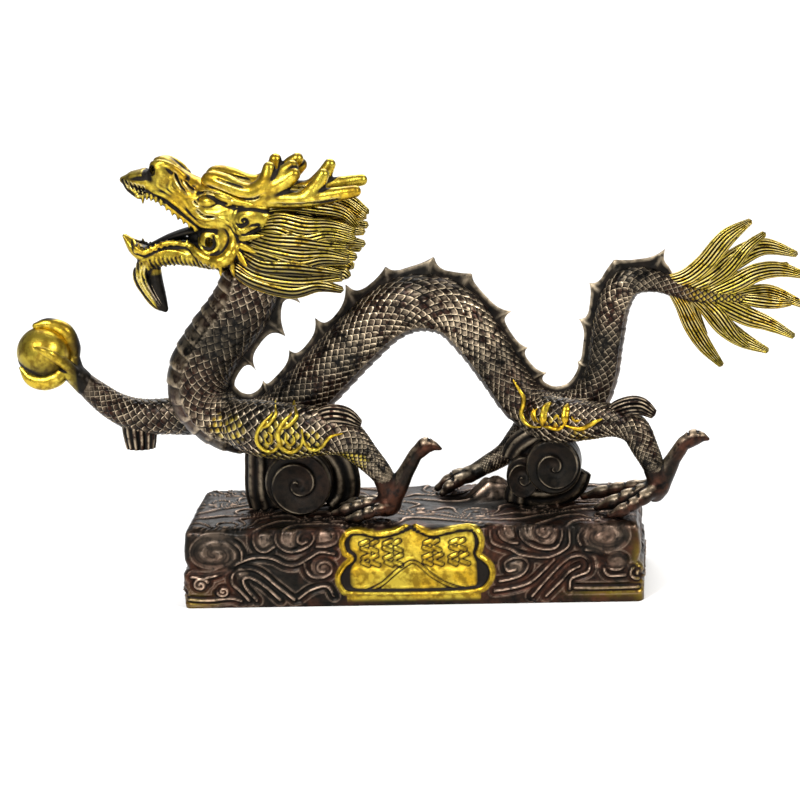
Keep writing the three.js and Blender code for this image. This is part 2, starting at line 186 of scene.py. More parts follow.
def skins(name, grids):
    """One piece from several closed grids, each (points, poles, u, v, masks by name)."""
    points, quads, tris, uv_quads, uv_tris, masks, start = [], [], [], [], [], {}, 0
    for grid, poles, u, v, extra in grids:
        rows, cols = grid.shape[:2]
        four, three = grid_faces(rows, cols, start)
        four_uv, three_uv = (block.reshape(-1, n, 2) for block, n in zip(grid_uv(u, v), (4, 3)))
        own = np.concatenate([grid.reshape(-1, 3), poles])
        if signed_volume(own, four - start) < 0:
            four, four_uv = four[:, ::-1], four_uv[:, ::-1]
            three, three_uv = three[:, ::-1], three_uv[:, ::-1]
        points.append(own)
        quads.append(four)
        tris.append(three)
        uv_quads.append(four_uv.reshape(-1, 2))
        uv_tris.append(three_uv.reshape(-1, 2))
        for key, values in extra.items():
            ends = [values[0].mean(), values[-1].mean()]
            masks.setdefault(key, []).append(np.concatenate([values.ravel(), ends]))
        start += rows * cols + 2
    masks = {key: np.concatenate(parts) for key, parts in masks.items()}
    faces = [np.concatenate(quads), np.concatenate(tris)]
    return mesh_piece(name, np.concatenate(points), faces, uv_quads + uv_tris, masks)


def signed_volume(points, quads):
    """Six times the volume that a skin encloses, which is negative if it is inside out."""
    a, b, c, d = (points[quads[:, k]] for k in range(4))
    return np.einsum("ij,ij->", np.cross(a, b), c) + np.einsum("ij,ij->", np.cross(a, c), d)

# %% [markdown]
# Almost every part of a dragon is something round carried along a bend. A path is a
# smooth curve through a few stations; a station may also carry the two half sizes there.
# The frame at each place on it is the direction of travel, a chosen way across, and the
# way out that is square to both.

# %% Paths and limbs
def smooth(stations, t):
    """A curve through the stations at t from 0 to 1: the Catmull-Rom cubic of each span."""
    stations = np.asarray(stations, float)
    spans = len(stations) - 1
    s = np.clip(t, 0, 1) * spans
    i = np.minimum(s.astype(int), spans - 1)
    f = (s - i)[..., None]
    ends = np.vstack([2 * stations[0] - stations[1], stations, 2 * stations[-1] - stations[-2]])
    a, b, c, d = (ends[i + k] for k in range(4))
    square, cube = 2 * a - 5 * b + 4 * c - d, 3 * b - a - 3 * c + d
    return 0.5 * (2 * b + (c - a) * f + square * f**2 + cube * f**3)


def even(stations, count):
    """Values of t that cut the curve into equal lengths, and the length up to each."""
    fine = np.linspace(0, 1, 40 * len(stations))
    steps = np.linalg.norm(np.diff(smooth(np.asarray(stations, float)[:, :3], fine), axis=0), axis=1)
    length = np.concatenate([[0], np.cumsum(steps)])
    wanted = np.linspace(0, length[-1], count)
    return np.interp(wanted, length, fine), wanted


def frames(points):
    """Direction of travel, way out and way across at each point of a path. Out is square to
    the travel and to the y axis."""
    along = unit(np.gradient(points, axis=0))
    out = unit(np.cross(along, [0.0, 1.0, 0.0]))
    return along, out, np.cross(out, along)


THINNEST = 0.35


def limb(stations, rows, cols, swell=None):
    """A closed skin round a path. Its stations are x, y, z, half width and half height, and
    the skin is the ellipse of those half sizes, scaled by swell(along 0 to 1, angle)."""
    full = np.array(stations, float)
    t, length = even(full, rows + 2)
    values = smooth(full, t)
    _, out, side = frames(values[:, :3])
    angle = np.linspace(0, 2 * np.pi, cols + 1)
    scale = 1 if swell is None else swell(t[1:-1, None], angle[None, :-1])
    half = np.maximum(values[1:-1, 3:5], THINNEST)
    ring_side = half[:, :1] * np.cos(angle[None, :-1]) * scale
    ring_out = half[:, 1:] * np.sin(angle[None, :-1]) * scale
    grid = values[1:-1, None, :3] + side[1:-1, None] * ring_side[..., None]
    grid = grid + out[1:-1, None] * ring_out[..., None]
    return grid, values[[0, -1], :3], length[1:-1], angle / (2 * np.pi)


def mirror(stations):
    """The same stations on the other flank."""
    return [[x, -y, *rest] for x, y, *rest in stations]

# %% [markdown]
# Finishes are sums of small masks: where the metal is hollow and where shade is painted on
# it, where it is rubbed and where a highlight is painted on it, where it is gilded. Writing
# that as arithmetic is far easier to read than wiring nodes by hand, so one class wraps a
# socket and turns each operator into a Math node. The pattern formulas below then work on
# numpy arrays and on sockets alike.

# %% Shader arithmetic
class Value:
    """A socket that adds a Math node for each operator used on it."""

    def __init__(self, finish, socket):
        self.finish, self.socket = finish, socket

    def math(self, operation, *others):
        inputs = dict(enumerate([self, *others]))
        return self.finish.node("ShaderNodeMath", {"operation": operation}, inputs)

    def __add__(self, other): return self.math("ADD", other)
    def __sub__(self, other): return self.math("SUBTRACT", other)
    def __rsub__(self, other): return (self * -1).math("ADD", other)
    def __mul__(self, other): return self.math("MULTIPLY", other)
    def __pow__(self, other): return self.math("POWER", other)
    __radd__, __rmul__ = __add__, __mul__


def floor(x): return x.math("FLOOR") if isinstance(x, Value) else np.floor(x)
def size(x): return x.math("ABSOLUTE") if isinstance(x, Value) else np.abs(x)
def above(x, low): return x.math("MAXIMUM", low) if isinstance(x, Value) else np.maximum(x, low)
def below(x, high): return x.math("MINIMUM", high) if isinstance(x, Value) else np.minimum(x, high)
def wave(x): return x.math("SINE") if isinstance(x, Value) else np.sin(x)


def ramp(x, start, stop):
    """0 where x is at start, 1 where it is at stop, straight between and level beyond."""
    return below(above((x - start) * (1 / (stop - start)), 0), 1)


def part(x):
    """The fraction of x above the whole number below it."""
    return x - floor(x)


class Finish:
    """A material under construction."""

    def __init__(self, name):
        self.material = bpy.data.materials.new(name)
        self.material.use_nodes = True
        self.tree = self.material.node_tree
        self.shader = self.tree.nodes["Principled BSDF"]

    def node(self, kind, settings=None, inputs=None, output=0):
        """A node of a kind, its settings set first, then its sockets given values or links."""
        made = self.tree.nodes.new(kind)
        for key, value in (settings or {}).items():
            setattr(made, key, value)
        for key, value in (inputs or {}).items():
            self.put(made.inputs[key], value)
        return Value(self, made.outputs[output])

    def put(self, socket, value):
        """A number, a colour or a link for one socket."""
        if isinstance(value, Value):
            self.tree.links.new(value.socket, socket)
        elif isinstance(value, tuple) and len(value) == 3 and len(socket.default_value) == 4:
            socket.default_value = (*value, 1)
        else:
            socket.default_value = value

    def mix(self, first, second, share):
        """One colour over another by a mask from 0 to 1."""
        inputs = {"Factor": share, 6: first, 7: second}
        return self.node("ShaderNodeMix", {"data_type": "RGBA"}, inputs, output=2)

    def mask(self, key):
        """A mask kept at the points of the mesh."""
        return self.node("ShaderNodeAttribute", {"attribute_name": key}, output=2)

    def noise(self, scale, detail):
        """Cloudy noise fixed to the object, in features per metre."""
        place = self.node("ShaderNodeTexCoord", output=3)
        inputs = {"Vector": place, "Scale": scale, "Detail": detail, "Roughness": 0.55}
        return self.node("ShaderNodeTexNoise", {"noise_dimensions": "3D"}, inputs)

    def pattern(self):
        """The two pattern coordinates kept in the piece's own UV map."""
        uv = self.node("ShaderNodeUVMap", {"uv_map": "pattern"})
        split = self.node("ShaderNodeSeparateXYZ", inputs={0: uv})
        return split, Value(self, split.socket.node.outputs[1])

    def finish(self, colour, metallic, roughness, height, depth):
        """Joins the parts to the shader. The height is in units of depth, in metres."""
        self.put(self.shader.inputs["Base Color"], colour)
        self.put(self.shader.inputs["Metallic"], metallic)
        self.put(self.shader.inputs["Roughness"], roughness)
        bump = self.node("ShaderNodeBump", {}, {"Height": height, "Distance": depth, "Strength": 1.0})
        self.put(self.shader.inputs["Normal"], bump)
        return self.material

# %% [markdown]
# The scales are a coat of roof tiles: each grows from under the row before it and ends in
# a rounded point. In pattern coordinates a tile is 1 long and 1 wide, and a new row starts
# every half length, shifted by half a width. The older of the two rows at a place is on
# top wherever its rounded end reaches.

# %% The pattern of scales
def tile_end(x):
    """How far a tile reaches at x from its middle: a rounded point from 0.5 to 1."""
    return 0.5 + 0.5 * above(1 - size(2 * x) ** 1.5, 0) ** 0.8


def scales(u, v):
    """Height, bright rim and dark gap of the coat, each from 0 to 1."""
    row = floor(2 * u)
    young = u - 0.5 * row
    old = young + 0.5
    shift = v + 0.5 * (row - 2 * floor(0.5 * row))
    across_young = part(shift) - 0.5
    across_old = part(shift + 0.5) - 0.5
    spare = tile_end(across_old) - old
    on_top = ramp(spare, -0.03, 0.03)
    height_old = 0.2 + 0.8 * old - 0.9 * across_old * across_old
    height_young = 0.2 + 0.8 * young - 0.9 * across_young * across_young
    height = height_young + (height_old - height_young) * on_top
    rim = on_top * ramp(spare, 0.14, 0.05)
    gap = (1 - on_top) * ramp(spare, -0.24, -0.04)
    return height, rim, gap

# %% [markdown]
# One recipe makes every metal on the statue. The bronze is nearly black and warms to
# red-brown in patches. Under a coat of scales the red-brown keeps to the free end of each
# scale, so the root of each scale is painted in shade. It shows pale brass wherever hands and
# polish have rubbed the rims, and a painted highlight on the faces of the scales and where
# the body is lit best. The gilt is laid over the same casting and leaves dark brown in every
# groove, and turns paler gold under the same rubbing and painted highlights. Masks on each
# mesh say where it is hollow and where shade is painted, where it is rubbed and where a
# highlight is painted, where it is gilded, and, under a coat of scales, where the skin is
# bare of them.

# %% Bronze and gilt
SOOT, UMBER, RUST = (0.0042, 0.0040, 0.0036), (0.015, 0.012, 0.0085), (0.088, 0.029, 0.015)
# BRASS, COPPER and PALE_GOLD colour both worn metal and painted highlights.
BRASS, COPPER, PALE_GOLD = (0.88, 0.71, 0.49), (0.78, 0.56, 0.41), (0.86, 0.74, 0.32)
GOLD, AMBER, DEEP_GOLD = (0.55, 0.42, 0.05), (0.56, 0.31, 0.010), (0.20, 0.12, 0.012)
GROOVE = (0.012, 0.009, 0.007)
BUMP_DEPTH = 0.0004


def metal(name, coat=None, rust=0.5, polish_and_highlight=BRASS):
    """Patinated brass: from soot through umber and rust to polished rims, with painted
    highlights and painted shade laid in by the masks, and gold leaf over it. `coat` gives
    height, rim and gap from the pattern coordinates."""
    made = Finish(name)
    broad, fine, grain = made.noise(45, 4), made.noise(300, 4), made.noise(1500, 2)
    gilt, rub, hollow_and_shade = (made.mask(key) for key in ("gilt", "rub", "hollow_and_shade"))
    u, v = made.pattern()
    if coat:
        bare = made.mask("bare")
        height, rim, gap = (x * (1 - bare) for x in coat(u, v))
        # Painted highlight: each scale's face is lightened towards its free end, and bare skin all
        # over, most where the body is lit best. The rims are pale from wear, and paler still where a
        # highlight is painted.
        face = (0.1 + rub) * (bare + ramp(height, 0.45, 1)) * ramp(fine, 0.4, 0.6)
        shine = rim * ramp(fine, 0.42, 0.54) * ramp(broad, 0.25, 0.55) * (0.45 + rub) + face * 0.7
        # Painted shade: on the scales the red-brown reaches only the raised free end of each scale, and
        # the root stays black. The red-brown patches themselves are the metal's own rust.
        rust_and_scale_shade = ramp(height, 0.35, 1.1) + bare * 0.6
        gilt = gilt * ramp(height, 0.55, 0.8) * ramp(fine, 0.3, 0.45)
    else:
        height, gap, rust_and_scale_shade = fine * 0.5, hollow_and_shade, ramp(fine, 0.3, 0.7)
        shine = rub * ramp(fine, 0.3, 0.6)
    shine = below(shine, 1)
    dark = made.mix(SOOT, UMBER, ramp(fine, 0.3, 0.7))
    dark = made.mix(dark, RUST, ramp(broad, 0.42, 0.62) * rust_and_scale_shade * rust)
    # Pale metal where rubbed and where a highlight is painted; soot in the gaps, in the hollows and
    # where shade is painted.
    bronze = made.mix(made.mix(dark, polish_and_highlight, shine), SOOT, below(above(gap, hollow_and_shade), 1))
    leaf = made.mix(GOLD, AMBER, ramp(broad, 0.45, 0.65) * 0.75)
    leaf = made.mix(leaf, DEEP_GOLD, ramp(fine, 0.43, 0.62) * 0.85)
    # Paler gold where rubbed and where a highlight is painted; dark brown in the grooves, in the
    # hollows and where shade is painted.
    leaf = made.mix(leaf, PALE_GOLD, shine)
    leaf = made.mix(leaf, GROOVE, below(hollow_and_shade * 1.3 + gap, 1))
    colour = made.mix(bronze, leaf, gilt)
    metallic = 0.8 + 0.2 * below(gilt + shine, 1) - 0.4 * hollow_and_shade * gilt
    roughness = 0.3 + 0.18 * ramp(fine, 0.3, 0.7) - 0.04 * gilt + 0.3 * hollow_and_shade
    made.shader.inputs["Specular IOR Level"].default_value = 0.3
    return made.finish(colour, metallic, roughness, height + grain * 0.12, BUMP_DEPTH)


scaly_bronze = metal("scaly_bronze", scales)
plain_bronze = metal("plain_bronze", rust=0.12)
foot_bronze = metal("foot_bronze", rust=0.9)
cloud_bronze = metal("cloud_bronze", rust=0.8, polish_and_highlight=COPPER)
print("finishes", [m.name for m in bpy.data.materials])


def dress(piece, finish, node="dragon"):
    """The finish of a piece, the solid it stands for, and the body it rides on."""
    piece.data.materials.append(finish)
    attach(piece, "root")
    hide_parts(node)
    print(piece.name, len(piece.data.polygons), "faces")

# %% [markdown]
# The body is one tube along the spine, from the nape down the neck, under the chest, over
# the arched back, down to the hips and up the tail. The last number of each station says
# how many scales go round it there. The belly has crosswise plates between two beaded
# lines instead, and they hide the seam where the rows of scales meet.

# %% The body
SPINE = [
    [-58, 0, 165, 10, 20], [-65, 0, 150, 13, 20], [-74, 0, 131, 14, 20], [-86, 0, 116, 14, 20],
    [-94.5, 0, 102, 14.2, 21], [-94.5, 0, 89, 14, 22], [-85, 0, 78.5, 13.2, 22],
    [-72, 0, 75.5, 12.6, 22], [-59, 0, 80, 12.6, 22], [-47, 0, 90, 12.6, 23],
    [-24, 0, 112.5, 12.5, 23], [-9, 0, 125.5, 12.7, 23], [6, 0, 131, 13.2, 23],
    [21, 0, 127, 12.5, 23], [32, 0, 114, 11.2, 22], [42, 0, 98, 10.3, 21], [52, 0, 83.5, 10.4, 20],
    [65, 0, 77.5, 10.8, 19], [78, 0, 82, 9.8, 17], [86, 0, 95, 7.9, 15], [89, 0, 110, 7.6, 14],
    [93, 0, 128, 7.4, 14], [100, 0, 137.5, 6.8, 13], [112, 0, 137.5, 5, 11], [126, 0, 132, 3.9, 9],
    [140, 0, 129.5, 3.3, 8], [154, 0, 129, 2.2, 7],
]
BELLY = (1.15, 0.8)
# Painted highlights: soft spots where the near flank is lit best, at the chest, the arch of the back,
# the hip, the neck and the rise of the tail. The rims and faces of the scales turn pale there.
BODY_HIGHLIGHTS = [(0.9, (-74, -12, 78), (20, 14, 12)), (0.95, (26, -12, 122), (20, 14, 18)),
             (0.7, (63, -10, 74), (20, 12, 10)), (0.5, (-16, -12, 118), (24, 14, 16)),
             (0.45, (-60, -14, 140), (10, 10, 8)), (0.4, (96, -8, 134), (12, 12, 14))]


def blob(points, centre, reach):
    """A soft spot: 1 at the centre, falling to about a third at `reach`."""
    return np.exp(-(((points - np.asarray(centre, float)) / np.asarray(reach, float)) ** 2).sum(-1))


def spots(points, table):
    """The sum of soft spots, each given as its weight, centre and reach."""
    return sum(weight * blob(points, centre, reach) for weight, centre, reach in table)


def body_skin(rows=770, cols=122):
    """Points at centre + out*r*cos(angle) + across*0.96*r*sin(angle), raised by the scales."""
    t, length = even(SPINE, rows + 2)
    values = smooth(SPINE, t)
    _, out, side = frames(values[:, :3])
    half, around = values[:, 3], values[:, 4]
    tile = 2 * np.pi * half / around * (1.15 + 0.35 * blob(values[:, :1], (10,), (45,)))
    turns = np.cumsum(np.gradient(length) / tile)[1:-1]
    angle = np.linspace(-np.pi, np.pi, cols + 1)
    v = angle / (2 * np.pi) * around[1:-1, None]
    height, _, _ = scales(turns[:, None], v[:, :-1])
    edge = np.pi - np.interp(values[1:-1, :1], [-72, -55], BELLY)
    belly = ramp(np.abs(angle[None, :-1]) - edge, 0, 0.08)
    plate = part(turns * 0.85)[:, None]
    plates = 0.75 * plate ** 0.6 * ramp(plate, 1, 0.93) + 0.15
    bead = np.exp(-(((np.abs(angle[None, :-1]) - edge) / 0.07) ** 2))
    bead = bead * (0.75 + 0.25 * np.cos(2 * np.pi * turns * 2.2)[:, None])
    raised = height * (1 - belly) + plates * belly + bead
    r = half[1:-1, None]
    radius = r + (raised - 0.6) * (0.16 + 0.06 * r)
    ring = out[1:-1, None] * np.cos(angle[:-1])[None, :, None]
    ring = ring + 0.96 * side[1:-1, None] * np.sin(angle[:-1])[None, :, None]
    grid = values[1:-1, None, :3] + ring * radius[..., None]
    gilt = ramp(grid[..., 0], 122, 132) * (grid[..., 2] > 120)
    gilt = np.maximum(gilt, 0.9 * ramp(blob(grid, (-84, -14, 79), (7, 9, 8)), 0.45, 0.8))
    hollow_and_shade = 0.8 * belly * ramp(plate, 0.12, 0.0)
    throat = ramp(grid[..., 0], -62, -74)
    # Painted highlight in the spots above; the throat's belly plates and beads are rubbed.
    rub = spots(grid, BODY_HIGHLIGHTS) * (1 - belly)
    rub = rub + (0.5 * belly * ramp(plate, 0.5, 0.85) + 0.5 * bead) * throat
    masks = {"gilt": gilt * (1 - belly), "rub": rub, "hollow_and_shade": hollow_and_shade + 0 * rub,
             "bare": np.maximum(belly, bead) + 0 * rub}
    return grid, values[[0, -1], :3], turns, v, masks


body = skins("dragon_body", [body_skin()])
dress(body, scaly_bronze)

# %% [markdown]
# Along the back runs a thin crest, a low web that rises into thorns leaning tailward. Each
# thorn falls away fast on the tail side and in a long hollow curve on the head side. Where
# the back bends inwards the web stays short of the centre of the bend, so that it never
# crosses itself.

# %% The crest
THORNS = [[-46.5, 131.6], [-55.4, 115.5], [-68.2, 101.8], [-67, 96.5], [-53.5, 110.5], [-40.7, 125.4],
          [-25.4, 141], [-6.9, 148.2], [15.7, 151.2], [31.6, 142.6], [47.3, 126], [53.9, 108.9],
          [61.9, 97.7], [75.7, 101.4], [77.1, 121.4], [82.6, 138], [95.6, 148.7], [117, 151.4]]


def crest_skin(rows=760, cols=14):
    """A blade whose edge is at web + thorns, a thorn being rise * exp(-distance / width)."""
    t, length = even(SPINE, 1601)
    axis = smooth(SPINE, t)
    tips = np.array(THORNS)[:, None] - axis[None][..., [0, 2]]
    gaps = np.linalg.norm(tips, axis=2)
    nearest_row = gaps.argmin(axis=1)
    tall = gaps.min(axis=1)
    rise = tall - axis[nearest_row, 3] - 2.4
    place = length[nearest_row] - 0.35 * (rise + 1)
    reach = np.linspace(place[0] - 14, place[-1] + 9, rows + 2)
    values = smooth(SPINE, np.interp(reach, length, t))
    along, out, side = frames(values[:, :3])
    step = np.linalg.norm(np.gradient(values[:, :3], axis=0), axis=1)
    bend_rate = np.einsum("ij,ij->i", np.gradient(along, axis=0), out) / step
    past = reach[:, None] - place[None]
    thorn = np.exp(-np.where(past < 0, -past / 2.7, past / 1.7))
    half = values[:, 3]
    ends = ramp(np.minimum(reach - reach[0], reach[-1] - reach), 0, 5)
    tall = half + (2.4 + (thorn * rise).max(axis=1)) * ends
    tall = np.where(bend_rate > 0.01, np.minimum(tall, 0.92 / np.maximum(bend_rate, 0.01)), tall)
    angle = np.linspace(0, 2 * np.pi, cols + 1)
    lift = np.maximum(0, np.cos(angle[None, :-1])) ** 0.9
    level_up = 0.8 * half[:, None] + (tall - 0.8 * half)[:, None] * lift
    rib = np.exp(-((past / 1.3) ** 2)).max(axis=1)[:, None]
    stout = 0.6 + 0.4 * ramp(half, 4, 12)[:, None]
    thick = (0.35 + 1.6 * (1 - lift)) * stout * (1 + 0.9 * rib * lift)
    lean = 0.35 * np.maximum(0, level_up - half[:, None] - 1)
    grid = values[:, None, :3] + out[:, None] * level_up[..., None] + along[:, None] * lean[..., None]
    grid = grid + side[:, None] * (thick * np.sin(angle[None, :-1]))[..., None]
    near_tail = 0.45 + 0.55 * ramp(values[:, 0], 0, 40)[:, None]
    crease = np.exp(-((past / 0.6) ** 2)).max(axis=1)[:, None]
    edge = ramp(lift, 0.85, 1.0) + 0.5 * crease * ramp(lift, 0.3, 0.6)
    masks = {"rub": np.minimum(edge, 1) * near_tail, "gilt": 0 * edge,
             "hollow_and_shade": 0.5 * (1 - rib) * ramp(lift, 0.8, 0.4)}
    masks = {key: value[1:-1] for key, value in masks.items()}
    poles = values[[0, -1], :3] + out[[0, -1]] * 0.8 * half[[0, -1], None]
    return grid[1:-1], poles, reach[1:-1], angle / (2 * np.pi), masks


crest = skins("dragon_crest", [crest_skin()])
dress(crest, plain_bronze)

# %% [markdown]
# A face is not a bent tube: jaws, brows and horns flow into each other. It could be
# sculpted by hand, but a formula can be changed later. So the forms are pressed into a
# block of space as distances, where a soft minimum makes two forms flow together, and
# then one skin is drawn where the distance is zero. How hollow the skin is at a point can
# be read from the same block, a little way out from the point. No distance is kept beyond
# FARTHEST, and no form is thinner than FINEST, which the cells could not show.

# %% Forms pressed into a block of space
import openvdb

FARTHEST, FINEST = 4.0, 0.25
NEAR_OUT, FAR_OUT = 0.7, 2.0


class Clay:
    """Signed distances in millimetres on a cubic grid. Only y >= 0 is kept if it is mirrored."""

    def __init__(self, low, high, cell, mirrored=False):
        self.low, self.cell, self.mirrored = np.asarray(low, float), cell, mirrored
        counts = np.ceil((np.asarray(high) - self.low) / cell).astype(int) + 1
        self.field = np.full(counts, FARTHEST, np.float32)
        self.axes = [self.low[k] + np.arange(counts[k], dtype=np.float32) * cell for k in range(3)]

    def window(self, low, high):
        """The part of the grid between two corners: its slices and its coordinates."""
        cuts = []
        for k in range(3):
            first = int(np.clip((low[k] - self.low[k]) / self.cell, 0, self.field.shape[k]))
            last = int(np.clip((high[k] - self.low[k]) / self.cell + 2, 0, self.field.shape[k]))
            cuts.append(slice(first, last))
        x, y, z = (self.axes[k][cuts[k]] for k in range(3))
        return tuple(cuts), x[:, None, None], y[None, :, None], z[None, None, :]

    def chain(self, stations, blend=1.5, steps=14, carve=False):
        """A limb of elliptic section through x, y, z, half width and half height. Where the
        half height is left out the section is round."""
        full = np.array([list(row) + [row[3]] * (5 - len(row)) for row in stations], float)
        dots = smooth(full, np.linspace(0, 1, steps * (len(full) - 1) + 1)) if steps > 1 else full
        dots[:, 3:] = np.maximum(dots[:, 3:], FINEST)
        pad = dots[:, 3:].max() + blend + 1
        low, high = dots[:, :3].min(0) - pad, dots[:, :3].max(0) + pad
        cuts, x, y, z = self.window(low, high)
        if 0 in self.field[cuts].shape:
            return
        near = np.full(self.field[cuts].shape, FARTHEST, np.float32)
        for a, b in zip(dots[:-1], dots[1:]):
            reach = max(a[3:].max(), b[3:].max()) + blend + 1
            near_low, near_high = np.minimum(a[:3], b[:3]) - reach, np.maximum(a[:3], b[:3]) + reach
            small = self.window(near_low, near_high)[0]
            local = tuple(slice(s.start - c.start, s.stop - c.start) for s, c in zip(small, cuts))
            px, py, pz = x[local[0]], y[:, local[1]], z[:, :, local[2]]
            way = b[:3] - a[:3]
            share = (px - a[0]) * way[0] + (py - a[1]) * way[1] + (pz - a[2]) * way[2]
            share = np.clip(share / max(way @ way, 1e-9), 0, 1)
            wide, tall = a[3] + (b[3] - a[3]) * share, a[4] + (b[4] - a[4]) * share
            across = (py - a[1] - share * way[1]) ** 2
            rest = (px - a[0] - share * way[0]) ** 2 + (pz - a[2] - share * way[2]) ** 2
            ratio = np.sqrt(across / wide**2 + rest / tall**2) + 1e-6
            slope = np.sqrt(across / wide**4 + rest / tall**4) + 1e-6
            near[local] = np.minimum(near[local], (ratio - 1) * ratio / slope)
        self.press(cuts, near, blend, carve)

    def press(self, cuts, near, blend, carve):
        """Soft union of the block with a form, or soft removal of the form from it."""
        block = self.field[cuts]
        if carve:
            block = -block
        share = np.maximum(blend - np.abs(block - near), 0) / blend
        soft = np.minimum(block, near) - share**2 * blend / 4
        self.field[cuts] = -soft if carve else soft

    def ball(self, centre, reach, blend=1.5, carve=False):
        """An ellipsoid with its centre and three half sizes."""
        pad = np.array(reach) + blend + 1
        cuts, x, y, z = self.window(np.array(centre) - pad, np.array(centre) + pad)
        if 0 in self.field[cuts].shape:
            return
        parts = [(p - c) ** 2 for p, c in zip((x, y, z), centre)]
        ratio = np.sqrt(sum(p / r**2 for p, r in zip(parts, reach))) + 1e-6
        slope = np.sqrt(sum(p / r**4 for p, r in zip(parts, reach))) + 1e-6
        self.press(cuts, ((ratio - 1) * ratio / slope).astype(np.float32), blend, carve)

    def line(self, stations, width, rise, from_y=0.0, taper=True):
        """Draws a line on both flanks: the skin rises by rise * exp(-(distance / width)^2), the
        distance being measured in the side view, in x and z."""
        dots = smooth(stations, np.linspace(0, 1, 12 * len(stations)))
        pad = 3 * width
        low = [dots[:, 0].min() - pad, from_y, dots[:, 1].min() - pad]
        high = [dots[:, 0].max() + pad, 1e3, dots[:, 1].max() + pad]
        cuts, x, _, z = self.window(low, high)
        x, z = x[:, 0], z[0]
        best = np.full(np.broadcast(x, z).shape, 1e3, np.float32)
        where = np.zeros_like(best)
        for k, (a, b) in enumerate(zip(dots[:-1], dots[1:])):
            way = b - a
            share = np.clip(((x - a[0]) * way[0] + (z - a[1]) * way[1]) / max(way @ way, 1e-9), 0, 1)
            distance = np.hypot(x - a[0] - share * way[0], z - a[1] - share * way[1])
            closer = distance < best
            best = np.where(closer, distance, best)
            where = np.where(closer, (k + share) / (len(dots) - 1), where)
        fade = np.minimum(1, 5 * np.minimum(where, 1 - where) + 0.25) if taper else 1
        lift = rise * np.exp(-((best / width) ** 2)) * fade
        self.field[cuts] -= lift[:, None, :].astype(np.float32)

    def cord(self, line, wide, sink=0.3, blend=0.5):
        """A round cord laid on the flank along a line drawn in x and z. Each dot of it takes
        the y of the outermost place that is still inside the form. `wide` may be a list, from
        end to end."""
        line = np.array(line, float)
        dots = smooth(line, np.linspace(0, 1, 8 * len(line)))
        cells = ((dots - self.low[[0, 2]]) / self.cell).round().astype(int)
        i, k = np.clip(cells, 0, np.array(self.field.shape)[[0, 2]] - 1).T
        inside = self.field[i, :, k] < 0
        hit = inside.any(axis=1)
        y = (inside.shape[1] - 1 - inside[:, ::-1].argmax(axis=1)) * self.cell
        y = np.interp(np.arange(len(dots)), np.flatnonzero(hit), y[hit])
        y = np.convolve(np.pad(y, 3, mode="edge"), np.ones(7) / 7, "valid") - sink
        share = np.linspace(0, 1, len(dots))
        wide = np.interp(share, np.linspace(0, 1, np.size(wide)), np.atleast_1d(wide))
        wide = wide * np.minimum(1, 0.3 + 5 * np.minimum(share, 1 - share))
        self.chain(np.stack([dots[:, 0], y, dots[:, 1], wide], 1), blend, steps=1)

    def whole(self):
        """The block with its mirror image, and its lowest corner."""
        if not self.mirrored:
            return self.field, self.low
        low = self.low.copy()
        low[1] -= (self.field.shape[1] - 1) * self.cell
        return np.concatenate([self.field[:, :0:-1], self.field], axis=1), low

    def sample(self, field, low, points):
        """The distances at some points, straight between the grid's own."""
        place = np.clip((points - low) / self.cell, 0, np.array(field.shape) - 1.001)
        i, f = place.astype(int), place % 1
        total = 0
        for corner in np.ndindex(2, 2, 2):
            weight = np.prod(np.where(corner, f, 1 - f), axis=1)
            total = total + weight * field[tuple((i + corner).T)]
        return total

    def skin(self, name, gilt=1.0, top_highlight=None):
        """The skin as a piece. How far into a recess each point lies, and how proud it stands, is
        read from the distances NEAR_OUT and FAR_OUT outside it: in a recess they are less than
        that far. A painted highlight on the faces that point up can be added to the proud mask."""
        field, low = self.whole()
        grid = openvdb.FloatGrid()
        grid.copyFromArray(np.ascontiguousarray(field))
        points, quads = grid.convertToQuads(isovalue=0.0)
        points = points.astype(float) * self.cell + low
        slope = [self.sample(field, low, points + step) - self.sample(field, low, points - step)
                 for step in np.eye(3) * self.cell]
        normal = unit(np.stack(slope, axis=1))
        quads = quads.astype(int)
        if signed_volume(points, quads) < 0:
            quads = quads[:, ::-1]
        near, far = (self.sample(field, low, points + normal * reach) / reach
                     for reach in (NEAR_OUT, FAR_OUT))
        hollow_and_shade = np.clip(2.6 * (1 - near) + 1.4 * np.clip(1 - far, 0, 1) - 0.2, 0, 1)
        # Painted highlight: where one is given, the faces that point up are made brighter too.
        proud = np.clip(3.5 * (near - 1) + (top_highlight(normal) if top_highlight else 0), 0, 1)
        gilt = gilt(points) if callable(gilt) else gilt + 0 * hollow_and_shade
        masks = {"hollow_and_shade": hollow_and_shade, "rub": proud, "gilt": gilt}
        flat = np.zeros((quads.size, 2))
        return mesh_piece(name, points, [quads], [flat], masks)

# %% [markdown]
# The head is gilt, and dark only inside the mouth. Its long upper jaw rises to a rounded
# nose, two cords of lip run back and wind round the corner of the mouth, and behind it a
# smooth cheek lobe throws out a row of pointed fins. Both flanks are alike, so half is
# worked out and mirrored. Big forms come first.

# %% The forms of the head
head = Clay((-128, 0, 126), (-46, 20, 206), 0.425, mirrored=True)
